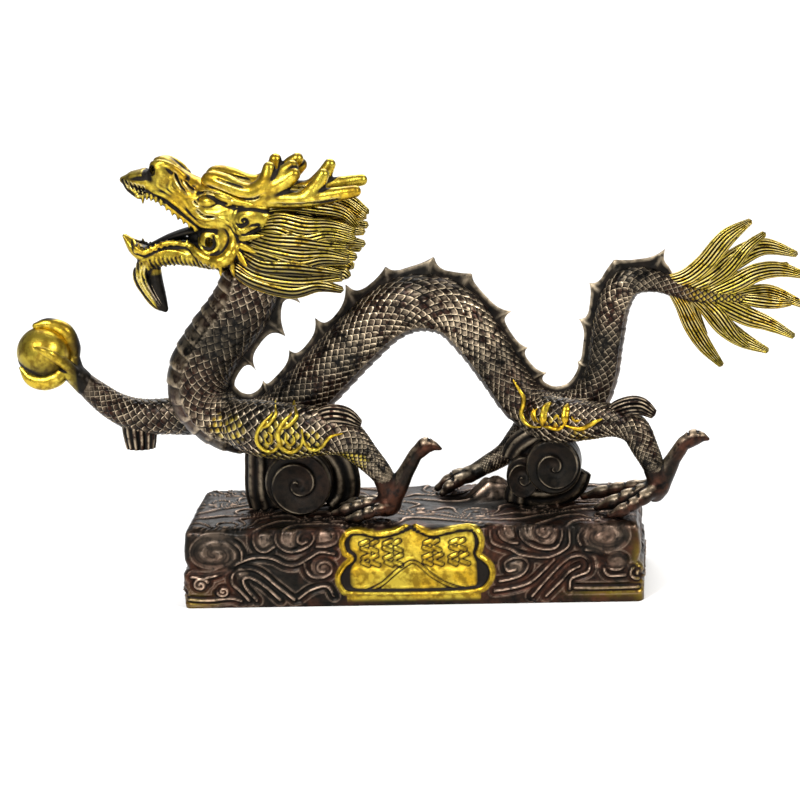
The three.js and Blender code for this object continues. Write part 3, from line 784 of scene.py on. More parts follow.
# The upper jaw with the skull, then the lower jaw.
head.chain([[-123, 0, 190.4, 2, 1.6], [-117.5, 0, 190, 5.4, 3.8], [-110, 0, 189, 6.6, 5.4],
            [-101, 0, 186.2, 7.2, 8.4], [-91, 0, 179.4, 8.6, 9], [-80, 0, 175, 11.6, 10.6],
            [-67, 0, 171.5, 13.4, 12], [-54, 0, 169.5, 12.6, 11.6], [-44, 0, 167, 8, 8]], 1)
head.chain([[-124.4, 0, 165, 1.8, 0.9], [-119.4, 0, 158.6, 4.6, 3.0], [-112, 0, 155.6, 6.4, 4.4],
            [-102, 0, 156.8, 7.8, 5.2], [-92, 0, 156, 9.6, 5.6], [-82, 0, 156.8, 12, 7.8],
            [-66, 0, 162, 12, 9]], 1.5)
# The nose with its curl, its bridge and its nostril, and the tip of the upper lip.
head.ball((-105.2, 4, 195.2), (5.2, 4.2, 4.6), 3)
head.ball((-103.6, 3.4, 191.6), (5.6, 4.4, 4.6), 3)
head.chain([[-108, 4.6, 197.6, 1.6], [-103.4, 6, 198, 1.7], [-98.6, 5.6, 195.4, 1.8],
            [-95, 5, 192, 1.6]], 0.8)
head.chain([[-102, 2, 196, 3, 2.4], [-96, 2, 190.6, 3.4, 2.6], [-88, 0, 186.6, 5, 3]], 2)
head.chain([[-113.6, 2, 193.2, 4.4, 1.8], [-119, 1.6, 192.2, 3, 1.5]], 1.5)
head.ball((-108.4, 7, 195.4), (1.3, 4.6, 2.0), 0.3, carve=True)
head.chain([[-115.4, 4.2, 184.4, 2.8, 2.2], [-119.6, 3, 187.4, 2.6, 2],
            [-122.6, 1.2, 190.4, 1.5, 1]], 1)
# The cheek, the corner of the mouth, the ear, the eye with its lid, the brow, the tongue.
head.ball((-77, 8.4, 163.4), (5.2, 3.4, 7.2), 1.6)
head.ball((-84.4, 7.6, 163.2), (4.8, 3, 5), 1.2)
head.ball((-89.5, 0, 163.6), (6, 5, 3.6), 1)
head.ball((-64, 11.6, 173.6), (8.4, 4.2, 5.2), 0.8)
head.ball((-83.8, 7.6, 181), (4.8, 4, 2.9), 0.4)
head.chain([[-90, 7, 178.4, 0.8], [-85.2, 9.6, 176.2, 1.3], [-79.9, 10.6, 175.8, 1.4],
            [-75, 10.8, 177.6, 0.8]], 0.4)
head.chain([[-88, 4, 186, 2.6, 2.4], [-80, 7.4, 184.6, 3.6, 3], [-70, 10, 181, 3.8, 2.4],
            [-58, 11, 179, 3.6, 2.2]], 1.5)
head.chain([[-82, 0, 166, 5, 1.6], [-92, 0, 166.8, 5, 1.8], [-103, 0, 164.2, 4.4, 1.5],
            [-113, 0, 160.5, 2, 0.8]], 0.8)
# The fins behind the cheek.
for (x, z), (tip_x, tip_z) in [((-69.6, 168.2), (-61.6, 170.6)), ((-68.6, 165.2), (-59, 166.6)),
                               ((-69.2, 161.6), (-62, 158.4)), ((-71.6, 158.4), (-67.2, 152.2)),
                               ((-75.4, 156.4), (-73.2, 147.8)), ((-79.6, 155.4), (-79.4, 148.6))]:
    head.chain([[x, 12.6, z, 2.4], [(x + tip_x) / 2, 14.4, (z + tip_z) / 2, 1.3],
                [tip_x, 16, tip_z, 0.3]], 0.3)
# The goatee, a broad lock and a thinner one behind it.
head.chain([[-114, 0, 154, 5, 4], [-118, 0, 147, 4.8, 3.9], [-115.4, 0, 140, 4, 3.6],
            [-111.8, 0, 134, 3, 2.9], [-108.2, 0, 130, 1.2, 0.5]], 1.5)
head.chain([[-112, 0, 151, 3, 3], [-111.6, 0, 144, 3.4, 3.2], [-110.2, 0, 137, 2.8, 2.8],
            [-108, 0, 131, 1.2, 1.2]], 1)
# Teeth along both jaws. The first above and the second below are fangs.
upper_gum = smooth([[-113.5, 184], [-107, 181.6], [-99, 174.6], [-91, 168.4]], np.linspace(0, 1, 11))
lower_gum = smooth([[-118.5, 160], [-113, 159.4], [-105, 162], [-95, 162]], np.linspace(0, 1, 11))
for k, ((upper_x, upper_z), (lower_x, lower_z)) in enumerate(zip(upper_gum, lower_gum)):
    down, up = 3.2 if k == 0 else 1.1, 2.4 if k == 1 else 1.2
    head.chain([[upper_x, 5.4, upper_z + 1, 1.2], [upper_x - 0.3, 5.6, upper_z - down, 0.5]], 0.4)
    head.chain([[lower_x, 5.4, lower_z - 1, 1.2], [lower_x - 0.3, 5.4, lower_z + up, 0.5]], 0.4)
print("head forms pressed")

# %% [markdown]
# Then cords are laid on the forms for lips, lids, folds and curls, and thin lines are cut
# for wrinkles and hair. A cord finds the flank by itself, so it only needs a line drawn
# in the side view.

# %% Lips, lids, folds and hairs
cords = [
    ([[-109.4, 183], [-105.3, 180.6], [-101, 177.6], [-95.9, 173.4], [-91.6, 169.8], [-89.4, 166.4],
      [-89, 162.4], [-87.4, 159.2], [-84, 158.2], [-81, 160], [-80.4, 163.6], [-82.2, 166.4],
      [-85.2, 166.6]], 1.2),
    ([[-112, 186.4], [-108.4, 185.6], [-104.6, 184.4], [-100.4, 181.6], [-96.2, 178], [-92, 174],
      [-88, 170.4], [-83.8, 169.8], [-79.4, 169.2]], 1.3),
    ([[-106.1, 192], [-106, 188.6], [-103, 186.4], [-99.6, 184]], 0.8),
    ([[-103, 194], [-100.4, 191], [-101, 187.8], [-98.2, 185], [-94.9, 182], [-92.6, 178.4],
      [-89.4, 174.8], [-85, 173.4], [-79.6, 174.2], [-74.6, 171.8], [-71.4, 167], [-71, 162],
      [-73, 157.6], [-77, 154.6], [-82, 153.8]], 1.05),
    ([[-123.8, 165.2], [-120.4, 162.8], [-118, 160], [-115, 158.4], [-111.6, 159.4], [-107, 161.4],
      [-102.6, 162.2], [-98, 161.6], [-93.4, 160.2], [-89.4, 157.6], [-85.4, 155.4], [-80.6, 154.6],
      [-76.2, 156.4], [-73.4, 160.4], [-73, 165.6], [-75.4, 169.6], [-79, 170.2]],
      [1.2, 1.2, 1.3, 1.3, 1.4, 2.2, 3.0, 3.2, 2.6, 1.4]),
    ([[-119.6, 152.4], [-114.9, 155], [-110, 157.2], [-104.6, 158.8], [-99.6, 158.4], [-94.6, 157]],
     0.8),
    ([[-72.6, 173.4], [-70.8, 177.2], [-65.2, 179.2], [-59.2, 178.6], [-52.6, 176.8]], 1.0),
    ([[-72.6, 173.4], [-71, 170], [-67.4, 168], [-62, 168.2], [-57.6, 171.6], [-52.6, 176.6]], 1.0),
    ([[-97.6, 186.8], [-94, 183.4], [-89.7, 182.2], [-87.8, 183.8]], 0.7),
]
for line, wide in cords:
    head.cord(line, wide)
head.ball((-67.4, 16.6, 172.8), (3.2, 2.6, 3.2), 0.2, carve=True)
head.cord([[-67.6, 170.2], [-65.2, 171.4], [-65, 173.8], [-67, 175.2], [-69.2, 174.2], [-69, 172.4],
           [-67.4, 172.4]], 0.7, sink=-0.2)
head.ball((-84.6, 9.6, 162.8), (1.7, 5.4, 2.1), 0.2, carve=True)
head.ball((-67.4, 13.6, 172.8), (1.0, 1.4, 1.0), 0.2)
for k in range(19):
    x, z = -113 + 2.0 * k, 155.6 + 1.4 * math.sin(k * 0.24) - 0.06 * max(0, k - 10) ** 1.4
    fringe = [[x - 0.6, z], [x, z - 2.6], [x + 1.0, z - 5.4 - 0.5 * (k % 2)]]
    head.cord(fringe, 0.7, sink=0.1, blend=0.3)
for k in range(6):
    head.line([[-122.8 + 1.9 * k, 190.6 - 0.5 * k], [-120.8 + 1.6 * k, 187.4 - 0.5 * k],
               [-117.6 + 1.0 * k, 184.6]], 0.42, -0.8, from_y=1, taper=False)
for k in range(4):
    head.line([[-120.2 + 1.9 * k, 153], [-120 + 1.7 * k, 146], [-117 + 1.5 * k, 139],
               [-111.8 + 1.0 * k, 131.6]], 0.45, -0.8)
for line in [[[-98.4, 194.4], [-97.6, 191], [-96, 187.6], [-93, 184.6]],
             [[-94.6, 190.4], [-92.6, 187.6], [-90, 185.6]], [[-90, 178], [-86, 174.9], [-80, 174.4]],
             [[-88.6, 184.2], [-84, 185.4], [-78, 184], [-72, 182]], [[-90.8, 181.6], [-88.4, 179.4]]]:
    head.line(line, 0.5, -1.0, from_y=2)


def head_gilt(points):
    """Bare dark metal inside the mouth and along the back of the goatee, gilt elsewhere."""
    x, y, z = points.T
    roof = np.interp(x, [-125, -113, -101, -88, -80], [186, 182, 176, 166, 163])
    lips = np.interp(x, [-125, -119, -110, -100, -88, -80], [161, 158.5, 158.5, 161, 161.5, 163])
    between = ramp(roof - z, -0.5, 1) * ramp(z - lips, -0.5, 1)
    inside = between * ramp(np.abs(y), 6.4, 4.8) * ramp(x, -119, -116)
    back_edge = np.interp(z, [129, 135, 141, 150], [-111, -113, -115, -115.5])
    behind = ramp(z, 150, 147) * ramp(x - back_edge, -0.3, 0.8)
    return np.clip(1 - inside - behind, 0, 1)


head_piece = head.skin("dragon_head", head_gilt)
dress(head_piece, plain_bronze)

# %% [markdown]
# Each antler starts as a fat roll over the brow and forks twice. The tines are short and
# blunt, as cast ones are, because thin points break off in the mould.

# %% The antlers
horns = Clay((-92, 0, 170), (-10, 20, 204), 0.42, mirrored=True)
horns.chain([[-85.4, 5, 188.6, 1.8, 2.0], [-82.4, 6.6, 190.2, 3.8, 4.0], [-76.5, 8, 188.8, 4.4, 4.4],
             [-69.5, 9.4, 185.8, 4.4, 4.0], [-63.6, 10.2, 184.8, 4.4, 4.2],
             [-59, 10.8, 187.2, 4.4, 4.2], [-56.6, 10.8, 191.6, 3.8, 3.5],
             [-55.8, 10.4, 195.4, 3, 2.8]], 1)
horns.chain([[-62, 10.4, 184.4, 4], [-55.6, 11, 186, 4.8], [-50, 11.6, 188.8, 4.2],
             [-45, 12.2, 192.4, 3.1]], 2)
horns.chain([[-52, 11.2, 188, 3.6], [-49.4, 10, 192.8, 3.3], [-45.8, 9.2, 195.6, 2.8]], 1.5)
horns.chain([[-81, 9, 184, 1.2], [-77, 10.8, 183.2, 1.8], [-73, 11.6, 181.2, 1.4],
             [-75.4, 11, 179.6, 0.8]], 0.6)
horns.chain([[-70, 9.6, 179.6, 2.6], [-63, 11, 180.6, 3.4], [-52, 12, 181.6, 3.9],
             [-42, 12.8, 181.2, 3.9], [-32, 13.2, 182.4, 3.6], [-24, 13.4, 183.6, 3.0],
             [-18, 13.4, 184.4, 2.6]], 1.5)
horns.chain([[-40, 12.8, 182, 3.8], [-35, 12.6, 187, 3.5], [-31.8, 12.4, 192, 2.7]], 1.5)
horns.line([[-84, 188.6], [-77.4, 186], [-70, 183], [-63, 182.6], [-57.6, 185]], 0.55, -0.8)
horns.line([[-80, 191.6], [-74, 189.6], [-66.6, 187.2]], 0.45, -0.5)
horns.line([[-56, 180.6], [-46, 180], [-34, 180.6], [-24, 182]], 0.45, -0.6)
antlers = horns.skin("dragon_antlers")
dress(antlers, plain_bronze)

# %% [markdown]
# Hair is cast as locks: blunt at the end, a little flat, and cut lengthwise by fine grooves
# that meet there. So a lock is a limb whose outline round it is a row of small ridges, and
# its finish darkens the grooves between the ridges with the same pattern coordinate.

# %% Hair
def hair(u, v):
    """Height, bright ridge and dark groove of strands: one strand for each whole v."""
    x = 2 * part(v) - 1
    height = 1 - x * x
    tone = part(wave(floor(v) * 12.9) * 437.5)
    return height, ramp(height, 0.85, 1), above(ramp(height, 0.86, 0.5), ramp(tone, 0.7, 0.8) * 0.85)


gilt_hair = metal("gilt_hair", hair)


def lock(stations, strands=12, rows=44, cols=60, gilt=1.0, depth=0.16, rub=0.25, cut=0.0, shade=0.0):
    """A limb of radius 1 - depth * x^2, where x runs from -1 to 1 across each strand. `cut`
    darkens the grooves between strands, and `shade` darkens some whole strands."""
    def swell(t, angle):
        x = 2 * part(angle / (2 * np.pi) * strands) - 1
        return 1 - depth * x * x + 0 * t
    grid, poles, length, v = limb(stations, rows, cols, swell)
    fade = ramp(length / length[-1], 0, 0.08)[:, None] + np.zeros(cols)
    ridge = 1 - (2 * part(v[:-1] * strands) - 1) ** 2
    tone = ramp(part(np.sin(np.floor(v[:-1] * strands) * 7.3 + stations[-1][2]) * 437.5), 0.3, 0.5)
    masks = {"gilt": gilt + 0 * fade, "rub": rub * ramp(ridge, 0.8, 1) + 0 * fade,
             "hollow_and_shade": 0.35 * (1 - fade) + cut * ramp(ridge, 0.7, 0.3) + shade * tone}
    return grid, poles, length, v * strands, masks


def both(stations, **settings):
    """A lock and its twin on the other flank."""
    return [lock(stations, **settings), lock(mirror(stations), **settings)]

# %% [markdown]
# The mane fans out from behind the cheek: eight long wavy locks on each flank, lying like
# shingles, two on the crown under the antlers, and a few at the back that close the gap
# between the flanks. Sines of the lock's number keep them from looking combed.

# %% The mane
mane = [lock([[-80, 0, 158, 8, 8], [-66, 0, 160.5, 13.5, 13], [-51, 0, 160, 15.5, 15],
              [-37, 0, 159.5, 13, 12.5], [-26, 0, 160, 3, 3]], strands=36, rows=70, cols=150,
              depth=0.04)]
for k in range(8):
    d, sway = k / 7, math.sin(2.1 * k)
    mane += both([
        [-58 - 17 * d, -11.5, 171.5 - 20 * d, 2.0, 2.4],
        [-51 - 13.5 * d, -15.6 + 0.5 * sway, 172.6 - 27 * d + 0.6 * sway, 2.8, 3.7],
        [-40 - 8 * d, -18.2 + 0.8 * sway, 170.5 - 27.5 * d - 1.2 * sway, 2.8, 3.8],
        [-29 - 7 * d, -17.6 - 0.6 * sway, 170.0 - 27 * d + 1.0 * sway, 2.3, 3.0],
        [-18.5 - 8 * d + 1.6 * sway, -14.5, 166.5 - 24.5 * d + 1.6 * math.sin(3.3 * k), 1.3, 1.5],
    ], shade=0.5 * ramp(d, 0.1, 0.6))
for k, (y, z) in enumerate([(-4.5, 181.5), (-9.5, 179)]):
    mane += both([[-62, y, z - 2, 3, 2], [-50, y * 1.05, z, 3.4, 3.2],
                  [-36, y * 1.2, z - 1.5, 3.4, 3.4], [-24, y * 1.3, z - 4, 2.8, 2.8],
                  [-14.5 - 3 * k, y * 1.25, z - 11, 1.3, 1.5]])
for y, z, x in [(-7, 167, -15), (0, 172, -17), (-9, 156, -19), (0, 160, -16), (-8, 147, -25),
                (0, 149, -23)]:
    nape = [[-46, y, z + 1, 3, 3], [-36, y * 1.1, z, 3.6, 3.8], [-26, y * 1.15, z - 0.5, 3, 3.2],
            [x, y, z - 2, 1.3, 1.5]]
    mane += both(nape, rows=30, cols=48) if y else [lock(nape, rows=30, cols=48)]
mane_piece = skins("dragon_mane", mane)
dress(mane_piece, gilt_hair)

# %% [markdown]
# The tail ends in a plume of flame-shaped tufts. The scaly tail runs on as a spine through
# its middle, the tufts leave it one after another above and below, and thinner inner
# tufts fill the fork between them.

# %% The tail plume
TUFTS = [
    [[113, 136.5, 2.4, 3], [124, 138.5, 2.8, 4], [133, 145, 2.6, 4.4], [143, 156.5, 2.2, 4],
     [154, 164, 0.9, 1.3]],
    [[124, 133, 2, 3], [136, 138.5, 2.6, 4.6], [147, 146.5, 2.6, 5], [159, 151.4, 2.2, 4],
     [174, 147.4, 0.9, 1.3]],
    [[134, 130.5, 2, 3], [146, 135.5, 2.6, 4.4], [156, 140.5, 2.4, 4.2], [166, 141.5, 2, 3.4],
     [178.5, 138, 0.9, 1.3]],
    [[144, 129, 2, 2.6], [154, 131, 2.4, 3.4], [163, 130.5, 2.2, 3.2], [178.5, 123.5, 0.9, 1.3]],
    [[134, 130, 2, 3], [143, 125, 2.6, 4.4], [152, 120.5, 2.6, 4.4], [161, 117, 2, 3.2],
     [172, 111, 0.9, 1.3]],
    [[127, 131.5, 2, 3], [134, 125, 2.6, 4.2], [141, 116, 2.6, 4.4], [149.5, 109.4, 2.2, 3.6],
     [160.6, 104, 0.9, 1.3]],
    [[118, 134.5, 2, 2.4], [122.6, 127, 2.4, 3.2], [127, 117.5, 2.6, 4], [132.6, 107.8, 2.2, 3.4],
     [140, 98.4, 0.9, 1.3]],
]
INNER_TUFTS = [((134, 135), (160, 158), -2), ((140, 133), (170, 143.5), 2),
               ((148, 128.6), (171, 126), -2), ((140, 128), (164, 113.6), 2),
               ((131, 130), (152, 106.4), -2), ((122, 134), (133, 112), 2)]
plume = []
for k, tuft in enumerate(TUFTS):
    sway = 1.4 if k % 2 else -1.4
    stations = [[x, sway * min(j, 2) / 2, z, w, h] for j, (x, z, w, h) in enumerate(tuft)]
    plume.append(lock(stations, strands=16, rows=70, cols=84))
for (x, z), (tip_x, tip_z), sway in INNER_TUFTS:
    far_x, far_z = tip_x - x, tip_z - z
    plume.append(lock([[x, 0, z, 1.5, 2], [x + 0.35 * far_x, sway, z + 0.3 * far_z, 2.2, 3.2],
                       [x + 0.7 * far_x, sway, z + 0.75 * far_z, 1.8, 2.6],
                       [tip_x, 0, tip_z, 0.9, 1.3]], strands=12, rows=40, cols=60))
plume_piece = skins("dragon_tail_plume", plume)
dress(plume_piece, gilt_hair)

# %% [markdown]
# The legs are limbs in the same coat of scales, fewer round than the body. The scales
# fade into plain skin at the ankle, where the foot begins.

# %% Scaly legs
LEG_GILTS = [(1.2, (-62, -25, 78), (5, 12, 7)), (1.2, (-52.6, -25, 78), (6, 12, 8)),
             (1, (-41, -25, 76), (5, 9, 5)), (0.9, (65, -20, 79.5), (5, 9, 3.6)),
             (0.8, (76, -20, 74.6), (6, 8, 2.6)), (1.9, (-46, -18, 65.6), (22, 12, 4.2)),
             (0.8, (-24, -24, 64), (7, 8, 6)), (1, (-78, -18, 79), (7, 12, 8)),
             (0.8, (84, -20, 70), (16, 10, 3))]


def leg_skin(stations, rows=180, cols=120, around=15, rub=0.25):
    """A limb raised by the scales: radius * (1 + 0.1 * (height - 0.6)), plain at the end."""
    full = np.array(stations, float)
    t, length = even(full, rows + 2)
    radius = smooth(full, t)[1:-1, 3:5].mean(1)
    turns = np.cumsum(np.gradient(length[1:-1]) / (2 * np.pi * radius / around * 1.1))
    plain = ramp(t[1:-1], 0.8, 0.93)

    def swell(_, angle):
        height, _, _ = scales(turns[:, None], angle / (2 * np.pi) * around)
        return 1 + 0.1 * (height - 0.6) * (1 - plain[:, None])
    grid, poles, _, v = limb(stations, rows, cols, swell)
    lower = ramp(grid[..., 2], grid[..., 2].max(), grid[..., 2].min())
    masks = {"rub": rub * (0.4 + 0.6 * lower), "gilt": ramp(spots(grid, LEG_GILTS), 0.45, 0.75),
             "hollow_and_shade": 0 * lower, "bare": plain[:, None] + 0 * lower}
    return grid, poles, turns, v * around, masks


FORELEG = [[-84, -5, 82, 6, 8], [-72, -10.5, 78.4, 8.6, 12.2], [-56, -15, 77, 8.8, 12.8],
           [-40, -18.5, 77.4, 7.6, 11], [-28, -20, 74.8, 6.6, 8.8], [-19, -20, 66, 5.6, 6.2],
           [-11.6, -20, 56.5, 4.6, 4.8], [-9, -20, 48, 3.6, 4]]
HINDLEG = [[52, -4, 80, 6, 8], [65, -10, 78, 8.2, 10.4], [79, -14.5, 78.6, 8, 8.8],
           [92, -18, 79.2, 7, 7.2], [100.6, -20, 75.6, 6.2, 6.6], [105, -20, 67, 5.4, 5.8],
           [108.6, -20, 58.6, 4.6, 4.8], [110, -20, 51, 3.6, 4]]
FAR_HINDLEG = [[66, 5, 78, 6, 8], [56, 11, 71, 6.8, 8.2], [48, 15, 62.5, 5.8, 6.3],
               [41, 17, 55, 4.8, 5], [32, 18, 49.4, 4.2, 4.2], [24, 18, 45.6, 3, 3]]
RAISED_ARM = [[-86, 4, 82, 6, 8], [-98, 9, 79, 7.8, 9.2], [-112, 12.5, 77.5, 7.4, 8.4],
              [-126, 14, 77.6, 7, 8], [-137, 14, 82, 6.2, 6.8], [-146, 14, 89, 5.2, 5.8],
              [-153, 14, 96, 4.2, 4.6]]
legs = skins("dragon_legs", [leg_skin(FORELEG, rub=0.5), leg_skin(HINDLEG, rub=0.4),
                             leg_skin(FAR_HINDLEG, 120, 100),
                             leg_skin(RAISED_ARM, 140, 110, around=11, rub=0.1)])
dress(legs, scaly_bronze)

# %% [markdown]
# Elbows and heels carry tufts of hair, dark like the skin. They stand a little proud, with
# blunt ends.

# %% Elbow and heel tufts
dark = {"gilt": 0.0, "strands": 14, "rows": 40, "cols": 84, "rub": 0.0}
tufts = [
    lock([[-42, -17, 80, 4, 4], [-35, -20, 84.4, 4.6, 5.4], [-27, -21.6, 84.4, 4, 5],
          [-20, -21.5, 80.6, 1.4, 2]], **dark),
    lock([[88, -16, 80, 3, 3], [95, -19.4, 85, 4, 4.4], [103, -21, 86.4, 3.8, 4.4],
          [110, -21, 82, 1, 2]], **dark),
    lock([[-127, 14, 78, 5, 8], [-127, 14, 71.5, 5.4, 8.2], [-127, 14, 66, 5, 7.6],
          [-127, 14, 61.8, 4.4, 6.8]], **dark),
    lock([[55, 15, 67, 3, 3.6], [60, 17, 61, 3, 3.8], [62, 18, 54, 1, 1]], **dark),
]
tuft_piece = skins("dragon_tufts", tufts)
dress(tuft_piece, gilt_hair)

# %% [markdown]
# A foot is a palm, three toes forward and one behind, each with knuckles and a claw. The
# far foot, half hidden by a support, has only the three in front. The toes flow into the
# palm, so they are pressed into a block of space like the head. The floor of the block is
# the top of the plinth, so that the foot stands flat on it.

# %% Feet
def toe(clay, stations, knuckle=1.08, neck=0.93):
    """A toe: a knuckle at each station, a narrower neck between two, and a claw at the end."""
    ends = np.array(stations, float)
    necks = (ends[:-1] + ends[1:]) / 2 * [1, 1, 1, neck]
    knuckles = ends[:-1] * [1, 1, 1, knuckle]
    clay.chain([*np.stack([knuckles, necks], 1).reshape(-1, 4).tolist(), ends[-1].tolist()], 1.2)
    for x, y, z, r in necks[1:-1]:
        clay.ball((x, y, z + r), (0.45, 2.6, 0.7), 0.3, carve=True)


def painted_top_highlight(normal):
    """Painted highlight: feet are made brighter where they face up."""
    return 0.5 * ramp(normal[:, 2], 0.2, 1)


fore = Clay((-39, -34, 36), (18, 0, 76), 0.37)
fore.chain([[-11.4, -20, 56, 4.4, 4.8], [-9.4, -20, 50, 4.4, 5], [-9.4, -20, 44.5, 5, 5]], 2)
fore.ball((-11, -20.5, 42.5), (6.5, 6, 4.6), 2)
toe(fore, [[-12, -20, 43.5, 3.2], [-18.6, -20.4, 43.6, 2.9], [-24, -20.4, 42.4, 2.9],
           [-29, -19.4, 40.6, 2.7], [-35, -17.6, 38.6, 1.4]])
toe(fore, [[-9, -23, 43, 3], [-14, -26, 42.6, 2.7], [-18.4, -27.4, 41.6, 2.6],
           [-22.6, -27.4, 40, 2.5], [-28, -25.8, 38.4, 1.4]])
toe(fore, [[-9, -18, 43, 3], [-17, -13, 42.8, 2.7], [-22.6, -9.8, 41.8, 2.6], [-27, -7.4, 40.2, 2.5],
           [-32.6, -5, 38.4, 1.4]])
toe(fore, [[-9, -20, 45, 5], [-5.4, -20, 51, 4.6], [-1.4, -20, 58, 3.6], [3.4, -20, 66, 3.2],
           [8, -20, 70.2, 3.7], [11.4, -20, 70, 2.2], [14.6, -20, 68.6, 0.8]], knuckle=1, neck=1)
hind = Clay((73, -34, 36), (136, 3, 76), 0.37)
hind.chain([[108.8, -20, 57, 4.4, 4.6], [110.6, -20, 51, 4.4, 4.8], [109, -20, 46.6, 4.6, 4.6]], 2)
toe(hind, [[110, -20, 49, 3.8], [103, -20.8, 47, 3.4], [96.6, -20.6, 44.8, 3.2],
           [90.4, -19.4, 42, 3.0], [83, -17, 38.8, 1.5]])
toe(hind, [[109, -22.4, 48.4, 3.4], [104, -26, 45.8, 3], [99.4, -27.8, 43.4, 2.8],
           [94.8, -28.2, 41, 2.7], [89, -27.4, 38.6, 1.5]])
toe(hind, [[108, -17.6, 48.6, 3.4], [99.6, -12.6, 46.8, 3], [92, -8.4, 44.8, 2.8],
           [84.6, -5, 42.4, 2.7], [76.6, -2.4, 39.6, 1.5]])
toe(hind, [[110.6, -20, 49, 4.8], [113.6, -20, 55, 4.4], [117.6, -20, 62, 3.4], [122, -20, 68.4, 3.2],
           [126.6, -20, 71.2, 3.7], [130, -20, 71.4, 2.2], [132.8, -20, 70.4, 0.8]], knuckle=1, neck=1)
far = Clay((5, 5, 36), (34, 31, 52), 0.36)
far.chain([[33, 18, 50, 4, 4], [26, 18, 46, 4, 3.8], [20, 18, 43.6, 4.2, 3.6]], 1.5)
toe(far, [[24, 18, 45, 3], [18, 18, 44.6, 2.8], [14, 18, 42, 2.8], [9, 18, 38.8, 1.6]])
toe(far, [[24, 20, 45, 3], [19, 23.4, 43.6, 2.7], [16, 25.4, 41.4, 2.6], [12.8, 26.8, 38.6, 1.5]])
toe(far, [[24, 16, 45, 3], [19, 12.6, 43.6, 2.7], [15, 10.8, 41.4, 2.6], [11.8, 9.8, 38.6, 1.5]])
for clay, name in [(fore, "dragon_fore_foot"), (hind, "dragon_hind_foot"), (far, "dragon_far_foot")]:
    clay.field = np.maximum(clay.field, TOP - clay.axes[2][None, None, :])
    dress(clay.skin(name, 0.0, top_highlight=painted_top_highlight), foot_bronze)

# %% [markdown]
# The raised hand holds up a gilt pearl. Its four fingers leave the wrist and hug the ball:
# every station of a finger is moved onto the ball, so only its direction has to be chosen.

# %% Pearl and fingers
PEARL, PEARL_RADIUS = np.array([-169, 14, 108.6]), 12.4
hand = Clay((-186, -3, 88), (-146, 31, 125), 0.34)
hand.chain([[-150.6, 14, 93, 4.8, 5.2], [-154.4, 14, 97.4, 5.2, 5], [-158, 14, 100.4, 4.6, 4]], 2)


def on_pearl(stations, blend=0.6):
    """A finger: each station's direction from the pearl's centre is kept, and its distance
    becomes the pearl's radius + 0.35 * its own, so that it is partly sunk into the pearl."""
    full = np.array(stations, float)
    full[:, :3] = PEARL + unit(full[:, :3] - PEARL) * (PEARL_RADIUS + 0.35 * full[:, 3:4])
    hand.chain([[-153, 12, 97, full[0, 3]], *full.tolist()], blend)


on_pearl([[-153.4, 4, 103.8, 2.6], [-156.6, 1, 107, 2.3], [-161, 0, 110.4, 2.4],
          [-165.4, 0, 113, 1.9], [-171, 0, 115.6, 0.4]])
on_pearl([[-155, 18, 104, 3.6], [-157.4, 17, 110.4, 3.6], [-160.6, 16, 116.4, 4],
          [-166, 15, 120.6, 3], [-171.5, 14, 121, 1.6]])
on_pearl([[-157, 9, 98, 3.4], [-162, 8, 96.6, 3.8], [-168.5, 8, 95.6, 3.8], [-174.4, 8, 98, 3],
          [-179, 8, 103, 0.8]])
on_pearl([[-156, 22, 101, 3], [-162, 26, 101, 2.8], [-170, 27, 104, 2.4], [-176, 25, 107, 0.6]])
hand_piece = hand.skin("dragon_hand", lambda points: 0.95 * ramp(points[:, 0], -153, -159))
dress(hand_piece, plain_bronze)


def pearl_skin(rows=60, cols=80):
    """A sphere, with one shallow swirl cut round it."""
    angle = np.linspace(0, 2 * np.pi, cols + 1)
    tilt = np.linspace(0, np.pi, rows + 2)[1:-1, None]
    cut = np.exp(-((part(angle[None, :-1] / (2 * np.pi) + 0.35 * np.cos(tilt)) - 0.5) / 0.02) ** 2)
    a = angle[:-1]
    ball = np.stack([np.sin(tilt) * np.cos(a), np.sin(tilt) * np.sin(a), np.cos(tilt) + 0 * a], -1)
    # Painted shade: the lower half of the pearl is darkened, besides the dark swirl cut into it.
    masks = {"gilt": 1 + 0 * cut, "rub": 0 * cut,
             "hollow_and_shade": 0.6 * cut + 0.5 * ramp(ball[..., 2], 0.2, -0.8)}
    grid = PEARL + ball * (PEARL_RADIUS - 0.2 - 0.5 * cut[..., None])
    poles = PEARL + np.array([[0, 0, 1], [0, 0, -1]]) * (PEARL_RADIUS - 0.2)
    return grid, poles, tilt[:, 0], angle, masks


pearl = skins("dragon_pearl", [pearl_skin()])
dress(pearl, plain_bronze)

# %% [markdown]
# Gilt flames curl over the shoulder and the hip. They are cords as well, laid on the legs
# and the body: a ray is sent from the front at each place, and the cord lies where it hits.

# %% Gilt flames
from mathutils.bvhtree import BVHTree


def hit_tree(*pieces):
    """A search tree of the faces of some pieces."""
    points, faces, start = [], [], 0
    for piece in pieces:
        count = len(piece.data.vertices)
        co = np.empty(count * 3)
        piece.data.vertices.foreach_get("co", co)
        points += co.reshape(-1, 3).tolist()
        faces += [[v + start for v in polygon.vertices] for polygon in piece.data.polygons]
        start += count
    return BVHTree.FromPolygons(points, faces)


skin_tree = hit_tree(body, legs)
SUNK, THICKEST = 0.35, 0.95


